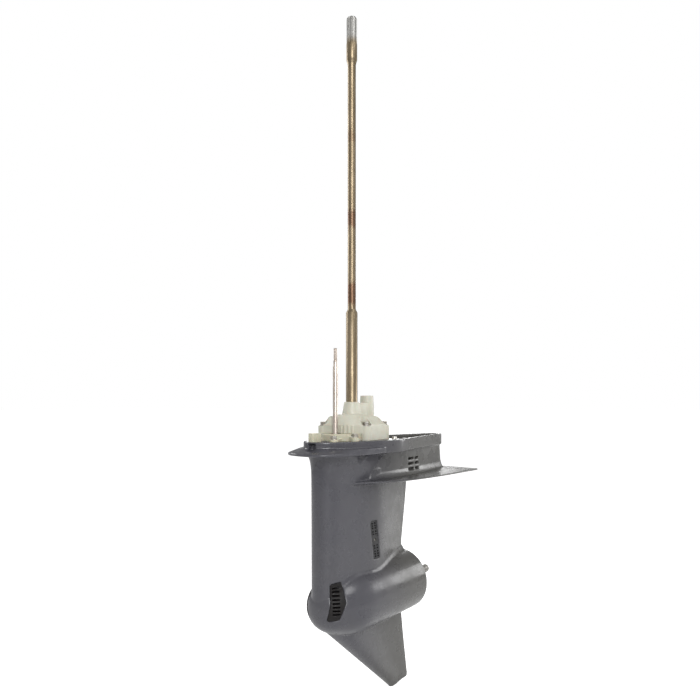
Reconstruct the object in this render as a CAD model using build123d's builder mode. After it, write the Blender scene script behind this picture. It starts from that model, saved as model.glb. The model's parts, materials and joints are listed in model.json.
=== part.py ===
from build123d import *
import os
from math import acos, atan, atan2, cos, hypot, pi, radians, sin, sqrt, tan

# Outboard lower unit: the gearcase with its drive line, shift gear and water pump.
# Millimetres. +X points aft, +Y to starboard, +Z up. The origin is on the drive shaft's
# axis, on the top face of the flange that bolts to the engine's leg.

# Gearcase
shaft_drop = 300.0  # flange face down to the propeller shaft's axis
flange_front = 117.0
flange_half = 74.0
flange_rear = 306.0
flange_tail_half = 21.0
band_height = 23.0
splash_reach = 23.0  # how far the splash lip stands out past the flange in front
splash_edge = 4.5
plate_drop = 75.0  # flange face down to the top of the anti-ventilation plate
plate_thickness = 7.0
plate_edge = 3.0  # the plate's thickness at its edge, and how far in it is full
plate_bevel = 22.0
plate_half = 98.0
plate_rear = 324.0
plate_corner = 7.0
leg_nose = 98.0
leg_half = 37.0
leg_tail_top = 181.0
leg_tail_foot = 158.0
brow_front = 101.0  # the leg's leading edge where it meets the splash lip
brow_half = 62.0
trunk_half = 39.0  # half width of the exhaust trunk between flange and plate
trunk_rear = 298.0
trunk_lean = 6.0  # how much further aft the trunk ends at the plate
bullet_radius = 62.5
bullet_rim_radius = 61.0
bullet_nose = 100.0
bullet_rear = 170.0
skeg_depth = 214.0
skeg_root_front = 84.0
skeg_toe = 121.0
skeg_heel = 185.0
skeg_root_half = 9.0
# (x, the bullet's radius, half thickness of the leg or skeg there, fillet radius)
leg_crease = [
    (-92, 28.6, 17, 3), (-80, 40.6, 24, 9), (-60, 50.8, 26.8, 16), (-30, 60, 29.1, 20),
    (16, 62.5, 34, 20), (40, 62.4, 33.8, 20), (70, 62.2, 27, 20), (120, 61.7, 12.7, 19),
    (150, 61.3, 4.6, 17), (158, 61.2, 3.2, 14), (163, 61.1, 3, 8), (168, 61, 3, 3),
]
skeg_crease = [
    (-60, 50.8, 1.2, 2), (-44, 56.6, 2.5, 6), (-10, 61.8, 5, 11), (50, 62.4, 7.8, 12),
    (110, 61.9, 6.2, 12), (151, 61.3, 3.2, 12),
]
skeg_tip_half = 3.5
case_wall = 8.0

# Bores in the gearcase
tunnel_radius = 20.0  # the long bore round the drive shaft
oil_seal_bore = 34.0
oil_seal_depth = 31.0
bearing_bore = 31.0
bearing_floor = 62.0
chamber_radius = 48.0
carrier_bore = 50.0
outlet_bore = 54.0
exhaust_front = 74.0
exhaust_floor = 66.0
duct_front = 84.0
duct_rear = 126.0
duct_half = 15.0
duct_tail_half = 4.0
slot_front = 146.0
slot_width = 22.0
slot_height = 4.6
slot_pitch = 10.6
slot_step = 23.5  # from the front column of slots to the rear one
intake_top = -153.0
intake_bottom = -227.0
intake_floor = 30.0  # the intake screens' seats, measured from the centre plane
grille_x = 11.5
grille_width = 19.5
grille_lean = 12.5
grille_thickness = 5.0
grille_hole = 4.8
grille_screw_radius = 2.5
pickup_bore = 4.5
nose_slots = [23, 17, 11, 5, -1, -7, -13, -19]  # heights of the slots in the nose intakes
intake_room_front = 24.0
intake_room_length = 26.0
riser_front = 42.0
riser_rear = 56.0
riser_half = 11.0
rod_x = -47.0
rod_bore = 5.2
cam_room = 16.0
rim_width = 7.0  # the rim round the flange stands a little higher than the pump's seat
rim_height = 1.0
rim_depth = 14.0  # the recess inside the rim, aft of the pump
rim_front = 80.0
rim_gap = 0.6
bolt_pad_radius = 8.0
pocket_radius = 9.0  # room for a spanner on the flange's bolts, open through the leg's flare
pocket_depth = 31.0
dowel_radius = 5.0
dowel_depth = 12.0
dowel_proud = 5.0
screw_radius = 3.0
screw_depth = 18.0
plug_radius = 5.0
plug_head_radius = 8.0
plug_length = 10.0
plug_washer = 1.5

# Fits
fit = 0.02  # seats that don't turn against each other
running = 0.3  # room between a turning piece and what stands still
journal = 0.05  # room in a plain bearing

# Drive line
shaft_radius = 11.0
shaft_thin_radius = 7.75
shaft_neck_top = 241.0
shaft_thin_top = 712.0
collar_radius = 10.25
collar_bottom = 720.0
shaft_top = 800.0
spline_length = 49.0
spline_tip_radius = 9.85
shaft_splines = 12
key_sink = 2.5
key_width = 4.0
key_length = 12.0
pinion_teeth = 14
gear_teeth = 28
gear_module = 3.15
face_width = 14.0
pressure_angle = 20.0
addendum = 0.8 * gear_module
dedendum = 1.05 * gear_module
backlash = 0.5
pinion_bore = 9.5
pinion_hub_radius = 17.0
pinion_hub_top = 52.0
shim_thickness = 1.0
needle_outer = 18.5
needle_length = 26.0
seal_radius = 19.0
seal_width = 7.0
o_ring = 3.0
nut_height = 8.0
nut_across = 20.0
thread_radius = 6.5

# Propeller shaft and clutch
prop_radius = 12.0
prop_spline_root = 10.6
prop_aft_radius = 15.0
prop_tail_radius = 13.0
prop_thread_radius = 8.7
prop_end = 262.0
prop_front = 33.0
prop_spline_end = 222.0
thrust_radius = 17.0
plunger_bore = 5.1
propeller_splines = 12
clutch_splines = 8
spline_gap = 4.2
clutch_travel = 2.2
pin_radius = 2.5
pin_ring_radius = 1.0
clutch_half = 6.0
clutch_radius = 19.0
dog_inner = 14.5
dog_height = 3.5
dog_gap = 2.5  # neutral gap between the clutch's dogs and the gears' dogs
dog_count = 6

# Gear hubs and bearings on the propeller shaft's axis
gear_back = 27.0
gear_hub_radius = 21.0
gear_hub_end = 41.0
bush_wall = 2.0
ball_width = 14.0
forward_cup_radius = 35.0
ball_bearing_radius = 36.0
carrier_front = 30.0
carrier_neck = 52.0
carrier_tube_radius = 25.0
carrier_needle = 24.0
carrier_ring_front = 148.0
carrier_ring_length = 10.0
ring_nut_length = 9.0

# Shift gear
rod_radius = 4.7
rod_top = 170.0
rod_step = 135.0
rod_tip_radius = 3.75
rod_spline_radius = 3.35
rod_spline_length = 23.0
cam_radius = 9.0
cam_seat_radius = 4.2
cam_top = 15.0  # the cam's height above the propeller shaft's axis
cam_height = 5.0
crank_throw = 5.87
crank_pin_radius = 3.0
slider_radius = 9.0
slider_front = 58.0
slider_rear = 35.6
plunger_radius = 4.8
plunger_head_radius = 5.4
plunger_neck_radius = 3.2
crank_depth = 4.5
slot_play = 0.15

# Water pump
deck_height = 13.0
gasket_thickness = 0.8
wear_thickness = 1.2
wear_radius = 33.0
cup_bore = 25.5
cup_offset = 2.5
cup_wall = 1.5
impeller_height = 17.0
impeller_hub_radius = 15.0
vane_reach = 22.6
vane_count = 6
shoulder_top = 48.0
neck_top = 71.6
neck_top_radius = 13.4
neck_base_radius = 18.6
outlet_x = 46.0
outlet_top = 84.0
outlet_radius = 12.5
boss_radius = 10.0
ear_radius = 7.5
boss_top = 27.0
wall_top = 29.0  # the housing's upright walls end here, and its roof slopes up to the shoulder
rib_count = 9
neck_seal_radius = 15.0
neck_seal_height = 6.0
outlet_floor = 20.0
tube_bore = 7.0
tube_seal_radius = 9.5
tube_seal_height = 12.0
rod_seal_radius = 9.0
bolt_flange_radius = 7.2
bolt_across = 11.0
bolt_head = 5.5
bolt_washer = 1.2
socket_x = -102.0
socket_length = 22.0
socket_width = 12.0
socket_height = 16.0

# Places worked out from the sizes above
axis_z = -shaft_drop
plate_z = -plate_drop
plate_under = plate_z - plate_thickness
axis_plane = Plane(origin=(0, 0, axis_z), x_dir=(1, 0, 0), z_dir=(0, -1, 0))
prop_axis = Axis((0, 0, axis_z), (1, 0, 0))
forward_frame = Plane(origin=(0, 0, axis_z), x_dir=(0, 0, 1), z_dir=(-1, 0, 0))
reverse_frame = Plane(origin=(0, 0, axis_z), x_dir=(0, 0, 1), z_dir=(1, 0, 0))
pinion_frame = Plane(origin=(0, 0, axis_z), x_dir=(1, 0, 0), z_dir=(0, 0, 1))
pinion_pitch = gear_module * pinion_teeth / 2
gear_pitch = gear_module * gear_teeth / 2
cone_distance = hypot(pinion_pitch, gear_pitch)
toe_share = (cone_distance - face_width) / cone_distance
wear_floor = deck_height + gasket_thickness
cup_floor = wear_floor + wear_thickness
cup_top = cup_floor + impeller_height + 2
cup_radius = cup_bore + cup_wall
clutch_reach = clutch_half + clutch_travel + 1
key_middle = cup_floor + impeller_height / 2
pump_bolts_at = [(-42, 34), (-8, -40), (52, -37), (30, 45)]
deck_bolts_at = [(-84, -28.5), (-44, -44), (-80, 24)]
deck_seats = [5, 8, 5]  # heights of the ears that carry the deck's bolts
deck_corners = [(-42, 34, 11), (-38, -33, 8), (rod_x - 3, 0, 22)]  # (x, y, radius)
skirt_x = -18  # forward of this the pump housing stands on its base plate
flange_bolts_at = [(-28, -50), (-28, 50), (112, -49), (112, 49)]
flange_bolt_radius = 5.25
dowels_at = [(66, -52), (66, 52)]
plugs_at = [(-20, 33.5, -110), (-25, 50, axis_z - 30)]
pinion_room = pinion_pitch + addendum + 2
pinion_roof = axis_z + pinion_hub_top + 4
needle_top = pinion_roof + needle_length
guide_end = -gear_hub_end - 11
grille_middle = (grille_x + (grille_width + grille_lean) / 2, (intake_top + intake_bottom) / 2)
FROM_TOP = (Align.CENTER, Align.CENTER, Align.MAX)
FROM_BOTTOM = (Align.CENTER, Align.CENTER, Align.MIN)

os.makedirs("parts", exist_ok=True)


def turned(points):
    """A closed profile of (radius, height) points, turned about the drive shaft's axis."""
    with BuildPart() as body:
        with BuildSketch(Plane.XZ):
            with BuildLine():
                Polyline(*points, close=True)
            make_face()
        revolve(axis=Axis.Z)
    return body.part


def turned_on_prop(points):
    """A closed profile of (x, radius) points, turned about the propeller shaft's axis."""
    with BuildPart() as body:
        with BuildSketch(axis_plane):
            with BuildLine():
                Polyline(*points, close=True)
            make_face()
        revolve(axis=prop_axis)
    return body.part


def ring(outer, inner, bottom, top):
    """A plain ring about the drive shaft's axis."""
    return turned([(inner, bottom), (outer, bottom), (outer, top), (inner, top)])


def ring_on_prop(outer, inner, front, rear):
    """A plain ring about the propeller shaft's axis."""
    return turned_on_prop([(front, inner), (rear, inner), (rear, outer), (front, outer)])


def flange_outline(inset):
    """The flange's teardrop in plan, drawn in by inset all round."""
    front = flange_front - inset
    half = flange_half - inset
    tail = flange_tail_half - inset
    rear = flange_rear - inset
    with BuildSketch() as area:
        with BuildLine():
            tip = ThreePointArc((-front, 0), (-front + 1.3, 8.4), (-front + 5, 16))
            flank = Spline(
                tip @ 1, (-front * 0.71, half * 0.56), (20, half), (rear - tail, tail),
                tangents=[tip % 1, (1, -0.2)],
            )
            ThreePointArc(flank @ 1, (rear - tail * 0.25, tail * 0.7), (rear, 0))
            mirror(about=Plane.XZ)
        make_face()
    return area.sketch


def inside_rim():
    """The area inside the flange's rim, round the pads of its bolts and dowels.

    The rim also leaves room for the pump's base plate, its ears and the socket block.
    """
    with BuildSketch() as area:
        add(flange_outline(rim_width))
        with Locations(*flange_bolts_at, *dowels_at):
            Circle(bolt_pad_radius, mode=Mode.SUBTRACT)
        with Locations(*deck_bolts_at):
            Circle(ear_radius + rim_gap)
        add(deck_outline(rim_gap))
        with Locations((socket_x, 0)):
            Rectangle(socket_length + 2, socket_width + 2)
    return area.sketch


def splash_outline(reach):
    """The lip that stands out by reach in front of the flange and fades away aft."""
    front = flange_front + reach
    half = flange_half
    with BuildSketch() as area:
        with BuildLine():
            lip = Spline(
                (-front, 0), (-flange_front * 0.99, half * 0.2 + reach * 1.57),
                (-flange_front * 0.4, half * 0.93), (10, half - 1),
                tangents=[(0, 1), (1, 0.02)],
            )
            Line(lip @ 1, (10, 0))
            mirror(about=Plane.XZ)
        make_face()
    return area.sketch


def foil_outline(nose, tail, half, blunt):
    """A leg section in plan: round leading edge at -nose, blunt trailing edge at tail."""
    with BuildSketch() as area:
        with BuildLine():
            flank = Spline(
                (-nose, 0), (-nose * 0.55, half * 0.8), (nose * 0.16, half), (tail, blunt),
                tangents=[(0, 1), (1, -0.26)],
            )
            Line(flank @ 1, (tail, 0))
            mirror(about=Plane.XZ)
        make_face()
    return area.sketch


def brow_outline(nose, rear, half):
    """The flared front of the leg in plan, cut off square at rear."""
    with BuildSketch() as area:
        with BuildLine():
            flank = Spline(
                (-nose, 0), (-nose * 0.55, half * 0.8), (rear, half), tangents=[(0, 1), (1, 0.02)]
            )
            Line(flank @ 1, (rear, 0))
            mirror(about=Plane.XZ)
        make_face()
    return area.sketch


def well_outline(front, rear, half):
    """The exhaust well in plan, from its flat front to its narrow rear end."""
    with BuildSketch() as area:
        with BuildLine():
            square = Line((front, 0), (front, half))
            flank = Spline(
                square @ 1, (leg_nose, half), (rear - 14, half * 0.5),
                tangents=[(1, 0.05), (1, -0.14)],
            )
            ThreePointArc(flank @ 1, (rear - 3, half * 0.32), (rear, 0))
            mirror(about=Plane.XZ)
        make_face()
    return area.sketch


def plate_outline(inset):
    """The anti-ventilation plate in plan, sweeping out of the leg's sides, drawn in by inset."""
    half = plate_half - inset
    rear = plate_rear - inset
    with BuildSketch() as area:
        with BuildLine():
            root = Line((-60, 0), (-60, leg_half * 0.56))
            sweep_out = Spline(
                root @ 1, (-15, half * 0.5), (60, half * 0.83), (150, half * 0.96),
                (rear - plate_corner, half), tangents=[(1, 0.42), (1, 0.02)],
            )
            corner = RadiusArc(sweep_out @ 1, (rear, half - plate_corner), plate_corner)
            Line(corner @ 1, (rear, 0))
            mirror(about=Plane.XZ)
        make_face()
    return area.sketch


def trunk_side(rear, half):
    """The trunk's outside in plan, where it runs out of the leg's sides."""
    with BuildSketch() as area:
        with BuildLine():
            front = Line((rod_x, 0), (rod_x, leg_half * 0.5))
            flank = Spline(
                front @ 1, (20, half * 0.92), (leg_nose, half), (rear - 14, half * 0.5),
                tangents=[(1, 0.5), (1, -0.14)],
            )
            ThreePointArc(flank @ 1, (rear - 3, half * 0.32), (rear, 0))
            mirror(about=Plane.XZ)
        make_face()
    return area.sketch


def skeg_section(front, rear, half):
    """A lens-shaped skeg section in plan."""
    with BuildSketch() as area:
        with BuildLine():
            flank = Spline(
                (front, 0), ((front + rear) / 2, half), (rear, half * 0.35),
                tangents=[(0.25, 1), (1, -0.1)],
            )
            Line(flank @ 1, (rear, 0))
            mirror(about=Plane.XZ)
        make_face()
    return area.sketch


def crease_section(bullet, wall, radius, up):
    """The fillet in a cross-section between the bullet, of that radius, and a wall on it.

    wall is the wall's half thickness, and up is 1 for the leg and -1 for the skeg. Both
    edges of the fillet run on into the metal at an angle.
    """
    height = sqrt((bullet + radius) ** 2 - (wall + radius) ** 2)
    out = Vector(wall + radius, height) / (bullet + radius)
    down = Vector(out.Y, -out.X)
    foot = out * (bullet - radius * 0.14 - 0.6) + down * (radius * 0.3 + 1)
    start = (foot.X * 0.9, up * foot.Y * 0.6)
    lean = atan2(height, wall + radius) / 2
    middle = (wall + radius - radius * cos(lean), height - radius * sin(lean))
    top = (wall * 0.94 - radius * 0.12 - 0.5, height + radius * 0.35 + 1)
    with BuildSketch() as area:
        with BuildLine():
            side = Polyline((0, start[1]), start, (foot.X, up * foot.Y))
            hollow = ThreePointArc(side @ 1, (middle[0], up * middle[1]), (top[0], up * top[1]))
            Line(hollow @ 1, (0, up * top[1]))
            mirror(about=Plane.YZ)
        make_face()
    return area.sketch


def grille_outline(inset):
    """A leaning intake strip as seen from the side, drawn in by inset."""
    low = grille_x + grille_lean
    with BuildSketch() as area:
        with BuildLine():
            Polyline(
                (grille_x, intake_top), (grille_x + grille_width, intake_top),
                (low + grille_width, intake_bottom), (low, intake_bottom), close=True,
            )
        make_face()
        fillet(area.vertices(), 3)
        if inset:
            offset(amount=-inset)
    return area.sketch


def grille_holes():
    """Two columns of holes down the strip, in groups above and below the screw."""
    drop = intake_top - intake_bottom
    places = []
    for share in (0.07, 0.135, 0.2, 0.285, 0.35, 0.65, 0.715, 0.8, 0.865, 0.93):
        middle = grille_x + grille_width / 2 + grille_lean * share
        for step in (-1, 1):
            places.append((middle + step * grille_width * 0.22, intake_top - drop * share))
    return places


def nose_plane(side):
    """The floor of the intake pocket in the nose, facing out and forward."""
    out = Vector(-0.65, side * 0.76, 0)
    floor = Vector(-78, side * 26, axis_z + 18) - out * 10
    return Plane(origin=floor, x_dir=(side * -0.76, -0.65, 0), z_dir=out)


def nose_outline(side, inset):
    """The nose intake's outline on its pocket's floor."""
    corners = [(-9, 31), (13.5, 32), (19, -2), (6.5, -29), (-15.5, -33), (-8.5, -1)]
    with BuildSketch() as area:
        with BuildLine():
            Polyline(*[(-side * u, v) for u, v in corners], close=True)
        make_face()
        fillet(area.vertices(), 3)
        if inset:
            offset(amount=-inset)
    return area.sketch


def deck_outline(grow=0.0):
    """The pump's base plate in plan: a plateau round the shift rod, the shaft and the riser."""
    with BuildSketch() as area:
        with BuildLine():
            for x, y, radius in deck_corners:
                CenterArc((x, y), radius + grow, 0, 360)
            CenterArc((0, 0), wear_radius + 2 + grow, 0, 360)
            CenterArc((riser_front + 4, 0), riser_half + 8 + grow, 0, 360)
        make_hull()
    return area.sketch


def ear_outline(x, y):
    """A low ear in plan that carries a deck bolt and runs into the plateau."""
    with BuildSketch() as area:
        with BuildLine():
            CenterArc((x, y), ear_radius, 0, 360)
            CenterArc((x * 0.7, y / 2), boss_radius, 0, 360)
        make_hull()
    return area.sketch


def housing_outline():
    """The pump housing in plan, a taut band round its four bolt columns and round body."""
    with BuildSketch() as area:
        with BuildLine():
            for x, y in pump_bolts_at:
                CenterArc((x, y), boss_radius - 1, 0, 360)
            CenterArc((0, 0), wear_radius + 5, 0, 360)
        make_hull()
    return area.sketch


def boss_foot(x):
    """Where a bolt column starts: on the base plate in front, on the flange aft of skirt_x."""
    return deck_height if x < skirt_x else 0


def tooth(pitch, mate_pitch, teeth):
    """One straight bevel tooth on +X, with the gear's axis on Z and its apex at the origin."""
    cone = atan(pitch / mate_pitch)
    virtual = pitch / cos(cone)
    base = virtual * cos(radians(pressure_angle))
    half_tooth = pi / (2 * teeth / cos(cone)) - backlash / 2 / virtual
    flank = []
    for radius in (virtual - dedendum - 0.4, virtual - dedendum / 2, virtual, virtual + addendum):
        roll = acos(min(base / radius, 1))
        turn = half_tooth + tan(radians(pressure_angle)) - radians(pressure_angle)
        turn -= tan(roll) - roll
        flank.append((radius * sin(turn), radius * cos(turn) - virtual))
    outline = flank + [(-x, y) for x, y in reversed(flank)]
    along = Vector(sin(cone), 0, cos(cone))
    outward = Vector(cos(cone), 0, -sin(cone))
    with BuildPart() as body:
        for share in (1, toe_share):
            heel = Plane(
                origin=along * cone_distance * share,
                x_dir=outward.cross(along),
                z_dir=along,
            )
            with BuildSketch(heel):
                with BuildLine():
                    Polyline(*[(x * share, y * share) for x, y in outline], close=True)
                make_face()
        loft(ruled=True)
    return body.part


def bevel_gear(pitch, mate_pitch, teeth, bore, nose, back):
    """A bevel gear about Z with its apex at the origin.

    nose and back are (height, radius) points of the blank in front of and behind the teeth.
    """
    cone = atan(pitch / mate_pitch)
    root_r = pitch - dedendum * cos(cone)
    root_z = mate_pitch + dedendum * sin(cone)
    profile = [(bore, nose[0][0])]
    profile += [(radius, height) for height, radius in nose]
    profile += [(root_r * toe_share, root_z * toe_share), (root_r, root_z)]
    profile += [(radius, height) for height, radius in back]
    profile += [(bore, back[-1][0])]
    with BuildPart() as body:
        add(turned(profile))
        with PolarLocations(0, teeth):
            add(tooth(pitch, mate_pitch, teeth))
    return body.part


def taper_lines(bore, outer, width):
    """The slope, roller radius and middle radius of a tapered bearing."""
    roller = (outer - bore) * 0.18
    return tan(radians(12)), roller, (outer + bore) / 2


def taper_cone(bore, outer, width, rollers):
    """A tapered bearing's inner race with its rollers, about Z, wide end at height 0."""
    slope, roller, middle = taper_lines(bore, outer, width)
    wide = middle + width / 2 * slope - roller + 0.2
    narrow = middle - width / 2 * slope - roller + 0.2
    with BuildPart() as body:
        add(turned([
            (bore, 0), (wide + 2, 0), (wide + 2, 1.5), (wide, 1.5), (narrow, width),
            (bore, width),
        ]))
        lean = Plane(
            origin=(middle, 0, width / 2),
            x_dir=(1, 0, slope),
            z_dir=(-slope, 0, 1),
        )
        with PolarLocations(0, rollers):
            with Locations(lean):
                Cylinder(roller, width - 4)
    return body.part


def taper_cup(bore, outer, width):
    """The outer race for taper_cone, with running room round its rollers."""
    slope, roller, middle = taper_lines(bore, outer, width)
    wide = middle + width / 2 * slope + roller + running + 0.3
    return turned([
        (wide, 0), (outer - fit, 0), (outer - fit, width), (wide - width * slope, width)
    ])


# The gearcase: one casting with flange, splash lip, trunk, leg, plate, bullet and skeg.
# Its bores, passages, pockets and bolt holes are cut after the outside is whole.
with BuildPart() as gearcase:
    with BuildSketch(axis_plane):
        with BuildLine():
            snout = Spline(
                (-bullet_nose, 0), (-bullet_nose * 0.62, bullet_radius * 0.8), (0, bullet_radius),
                tangents=[(0, 1), (1, 0)],
            )
            barrel = Spline(
                snout @ 1, (bullet_rear, bullet_rim_radius), tangents=[(1, 0), (1, -0.02)]
            )
            Polyline(barrel @ 1, (bullet_rear, 0), (-bullet_nose, 0))
        make_face()
    revolve(axis=prop_axis)
    leg_levels = [
        (axis_z + 4, leg_tail_foot, leg_half - 3),
        (axis_z * 0.6, (leg_tail_foot + leg_tail_top) / 2 - 2, leg_half - 1),
        (plate_z, leg_tail_top, leg_half),
        (plate_z + 20, leg_tail_top, leg_half),
    ]
    for level, tail, half in leg_levels:
        with BuildSketch(Plane.XY.offset(level)):
            add(foil_outline(leg_nose, tail, half, 2.5))
    loft()
    for stations, up in ((leg_crease, 1), (skeg_crease, -1)):
        for x, bullet, wall, radius in stations:
            with BuildSketch(Plane(origin=(x, 0, axis_z), x_dir=(0, 1, 0), z_dir=(1, 0, 0))):
                add(crease_section(bullet, wall, radius, up))
        loft(ruled=True)
    skeg_levels = [
        (axis_z - bullet_radius * 0.55, -skeg_root_front, leg_tail_foot - 4, skeg_root_half),
        (axis_z - skeg_depth + 6, skeg_toe - 6, skeg_heel - 1, skeg_tip_half + 0.5),
        (axis_z - skeg_depth, skeg_toe, skeg_heel - 2, skeg_tip_half),
    ]
    for level, front, rear, half in skeg_levels:
        with BuildSketch(Plane.XY.offset(level)):
            add(skeg_section(front, rear, half))
    loft(ruled=True)
    with BuildSketch(Plane.XY.offset(plate_z)):
        add(plate_outline(0))
    extrude(amount=-plate_edge)
    with BuildSketch(Plane.XY.offset(plate_z - plate_edge)):
        add(plate_outline(0))
    with BuildSketch(Plane.XY.offset(plate_under)):
        add(plate_outline(plate_bevel))
    loft(ruled=True)
    with BuildSketch(Plane.XY.offset(plate_under)):
        add(trunk_side(trunk_rear + trunk_lean, trunk_half))
    with BuildSketch(Plane.XY.offset(-band_height)):
        add(trunk_side(trunk_rear, trunk_half))
    loft(ruled=True)
    for rise, spread in ((16, -0.8), (6, 2.5), (-1, 9)):
        with BuildSketch(Plane.XY.offset(plate_z + rise)):
            add(trunk_side(trunk_rear + trunk_lean + spread * 0.7, trunk_half + spread))
    loft()
    brow_levels = [
        (plate_z - 8, leg_nose - 2, 3, leg_half - 3),
        (plate_z + 16, leg_nose - 1, 12, leg_half + 4),
        (-band_height - 12, leg_nose, 26, brow_half - 12),
        (-band_height, brow_front, 34, brow_half),
    ]
    for level, front, rear, half in brow_levels:
        with BuildSketch(Plane.XY.offset(level)):
            add(brow_outline(front, rear, half))
    loft()
    with BuildSketch():
        add(flange_outline(0))
    extrude(amount=-band_height)
    with BuildSketch():
        add(flange_outline(0))
        add(inside_rim(), mode=Mode.SUBTRACT)
    extrude(amount=rim_height)
    with BuildSketch(Plane.XY.offset(-band_height)):
        add(splash_outline(splash_reach))
    extrude(amount=splash_edge)
    with BuildSketch(Plane.XY.offset(splash_edge - band_height)):
        add(splash_outline(splash_reach))
    with BuildSketch(Plane.XY.offset(-band_height / 2)):
        add(splash_outline(0.5))
    loft()

blank = gearcase.part

with gearcase:
    # The drive shaft's tunnel with its bearing seats, and the pinion's chamber.
    tunnel = [
        (0, 0), (oil_seal_bore, 0), (oil_seal_bore, -oil_seal_depth),
        (bearing_bore, -oil_seal_depth), (bearing_bore, -bearing_floor),
        (tunnel_radius, -bearing_floor), (tunnel_radius, needle_top), (needle_outer, needle_top),
        (needle_outer, pinion_roof), (pinion_room, pinion_roof), (pinion_room, axis_z), (0, axis_z),
    ]
    add(turned(tunnel), mode=Mode.SUBTRACT)

    # The stepped bore on the propeller shaft's axis, open at the rear rim.
    stepped = [
        (-slider_front - 6, 0), (-slider_front - 6, slider_radius + journal),
        (guide_end, slider_radius + journal), (guide_end, cam_room),
        (-gear_hub_end, cam_room), (-gear_hub_end, forward_cup_radius),
        (-gear_back, forward_cup_radius), (-gear_back, chamber_radius),
        (carrier_front, chamber_radius), (carrier_front, carrier_bore),
        (carrier_neck + 2, carrier_bore), (carrier_neck + 2, outlet_bore),
        (bullet_rear + 1, outlet_bore), (bullet_rear + 1, 0),
    ]
    add(turned_on_prop(stepped), mode=Mode.SUBTRACT)

    # The shift rod's bore and the cam's pocket below it.
    with Locations((rod_x, 0, 0)):
        Cylinder(rod_bore, shaft_drop, align=FROM_TOP, mode=Mode.SUBTRACT)
    with Locations((rod_x, 0, axis_z)):
        Cylinder(cam_radius + 0.8, cam_top + 1.5, align=FROM_BOTTOM, mode=Mode.SUBTRACT)

    # The exhaust well in the flange, and its duct down the back of the leg.
    with BuildSketch():
        add(well_outline(exhaust_front, trunk_rear - case_wall, trunk_half - case_wall))
    extrude(amount=-exhaust_floor, mode=Mode.SUBTRACT)
    with BuildSketch(Plane.XY.offset(-exhaust_floor)):
        with BuildLine():
            Polyline(
                (duct_front, -duct_half), (duct_rear, -duct_tail_half),
                (duct_rear, duct_tail_half), (duct_front, duct_half), close=True,
            )
        make_face()
    extrude(amount=-(shaft_drop - exhaust_floor - bullet_radius * 0.7), mode=Mode.SUBTRACT)

    # Relief slots through both walls of the trunk.
    for column, width in ((slot_front, slot_width), (slot_front + slot_step, slot_width * 0.7)):
        for row in range(3):
            with Locations((column, 0, -44 - row * slot_pitch)):
                Box(
                    width, 3 * trunk_half, slot_height,
                    align=(Align.CENTER, Align.CENTER, Align.CENTER), mode=Mode.SUBTRACT,
                )

    # The water riser from the leg's intakes up to the pump, and the chamber between them.
    with BuildSketch():
        with Locations(((riser_front + riser_rear) / 2, 0)):
            RectangleRounded(riser_rear - riser_front, 2 * riser_half, 4)
    extrude(amount=intake_bottom + 6, mode=Mode.SUBTRACT)
    with Locations((intake_room_front, 0, (intake_top + intake_bottom) / 2)):
        Box(
            intake_room_length, 2 * intake_floor + 1, intake_top - intake_bottom - 12,
            align=(Align.MIN, Align.CENTER, Align.CENTER), mode=Mode.SUBTRACT,
        )
    for side in (-1, 1):
        with Locations((grille_x + 3, side * (intake_floor - 3), (intake_top + intake_bottom) / 2)):
            Box(14, 7, intake_top - intake_bottom - 16, mode=Mode.SUBTRACT)
        with BuildSketch(Plane.XZ.offset(-side * intake_floor)):
            add(grille_outline(0))
        extrude(amount=-side * leg_half, mode=Mode.SUBTRACT)
        with BuildSketch(nose_plane(side)):
            add(nose_outline(side, 0))
        extrude(amount=leg_half, mode=Mode.SUBTRACT)
    with Locations((-leg_nose + 20, 0, 0)):
        Cylinder(pickup_bore, shaft_drop - 22, align=FROM_TOP, mode=Mode.SUBTRACT)
    with Locations((-leg_nose + 20, 0, axis_z + 26)):
        Cylinder(pickup_bore - 1, 34, rotation=(90, 0, 0), mode=Mode.SUBTRACT)

    # The recess inside the flange's rim, aft of the pump.
    with BuildSketch():
        add(inside_rim())
        with Locations((rim_front, 0)):
            Rectangle(
                3 * flange_rear, 3 * flange_half, align=(Align.MAX, Align.CENTER),
                mode=Mode.SUBTRACT,
            )
    extrude(amount=-rim_depth, mode=Mode.SUBTRACT)

    # Flange bolt holes, their pockets under the band, dowel holes and the front notch.
    with Locations(*[(x, y, rim_height) for x, y in flange_bolts_at]):
        Cylinder(flange_bolt_radius, band_height + 8, align=FROM_TOP, mode=Mode.SUBTRACT)
    with Locations(*[(x, y, -band_height) for x, y in flange_bolts_at]):
        Cylinder(pocket_radius, pocket_depth, align=FROM_TOP, mode=Mode.SUBTRACT)
    with Locations(*[(x, y, rim_height) for x, y in dowels_at]):
        Cylinder(dowel_radius, dowel_depth + rim_height, align=FROM_TOP, mode=Mode.SUBTRACT)
    with Locations((-flange_front, -5.5, -8.5)):
        Box(20, 15, 13, mode=Mode.SUBTRACT)
    with Locations(*[(x, y, 0) for x, y in deck_bolts_at + pump_bolts_at]):
        Cylinder(screw_radius, screw_depth, align=FROM_TOP, mode=Mode.SUBTRACT)

    # Spot faces and holes for the oil level plug and the drain plug, on the starboard side.
    for x, seat, z in plugs_at:
        with Locations(Plane(origin=(x, seat, z), x_dir=(1, 0, 0), z_dir=(0, 1, 0))):
            Cylinder(plug_head_radius + 1.5, 30, align=FROM_BOTTOM, mode=Mode.SUBTRACT)
            Cylinder(plug_radius, plug_length + 4, align=FROM_TOP, mode=Mode.SUBTRACT)
gearcase.part.label = "gearcase"
export_step(gearcase.part, "parts/gearcase.step")

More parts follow.
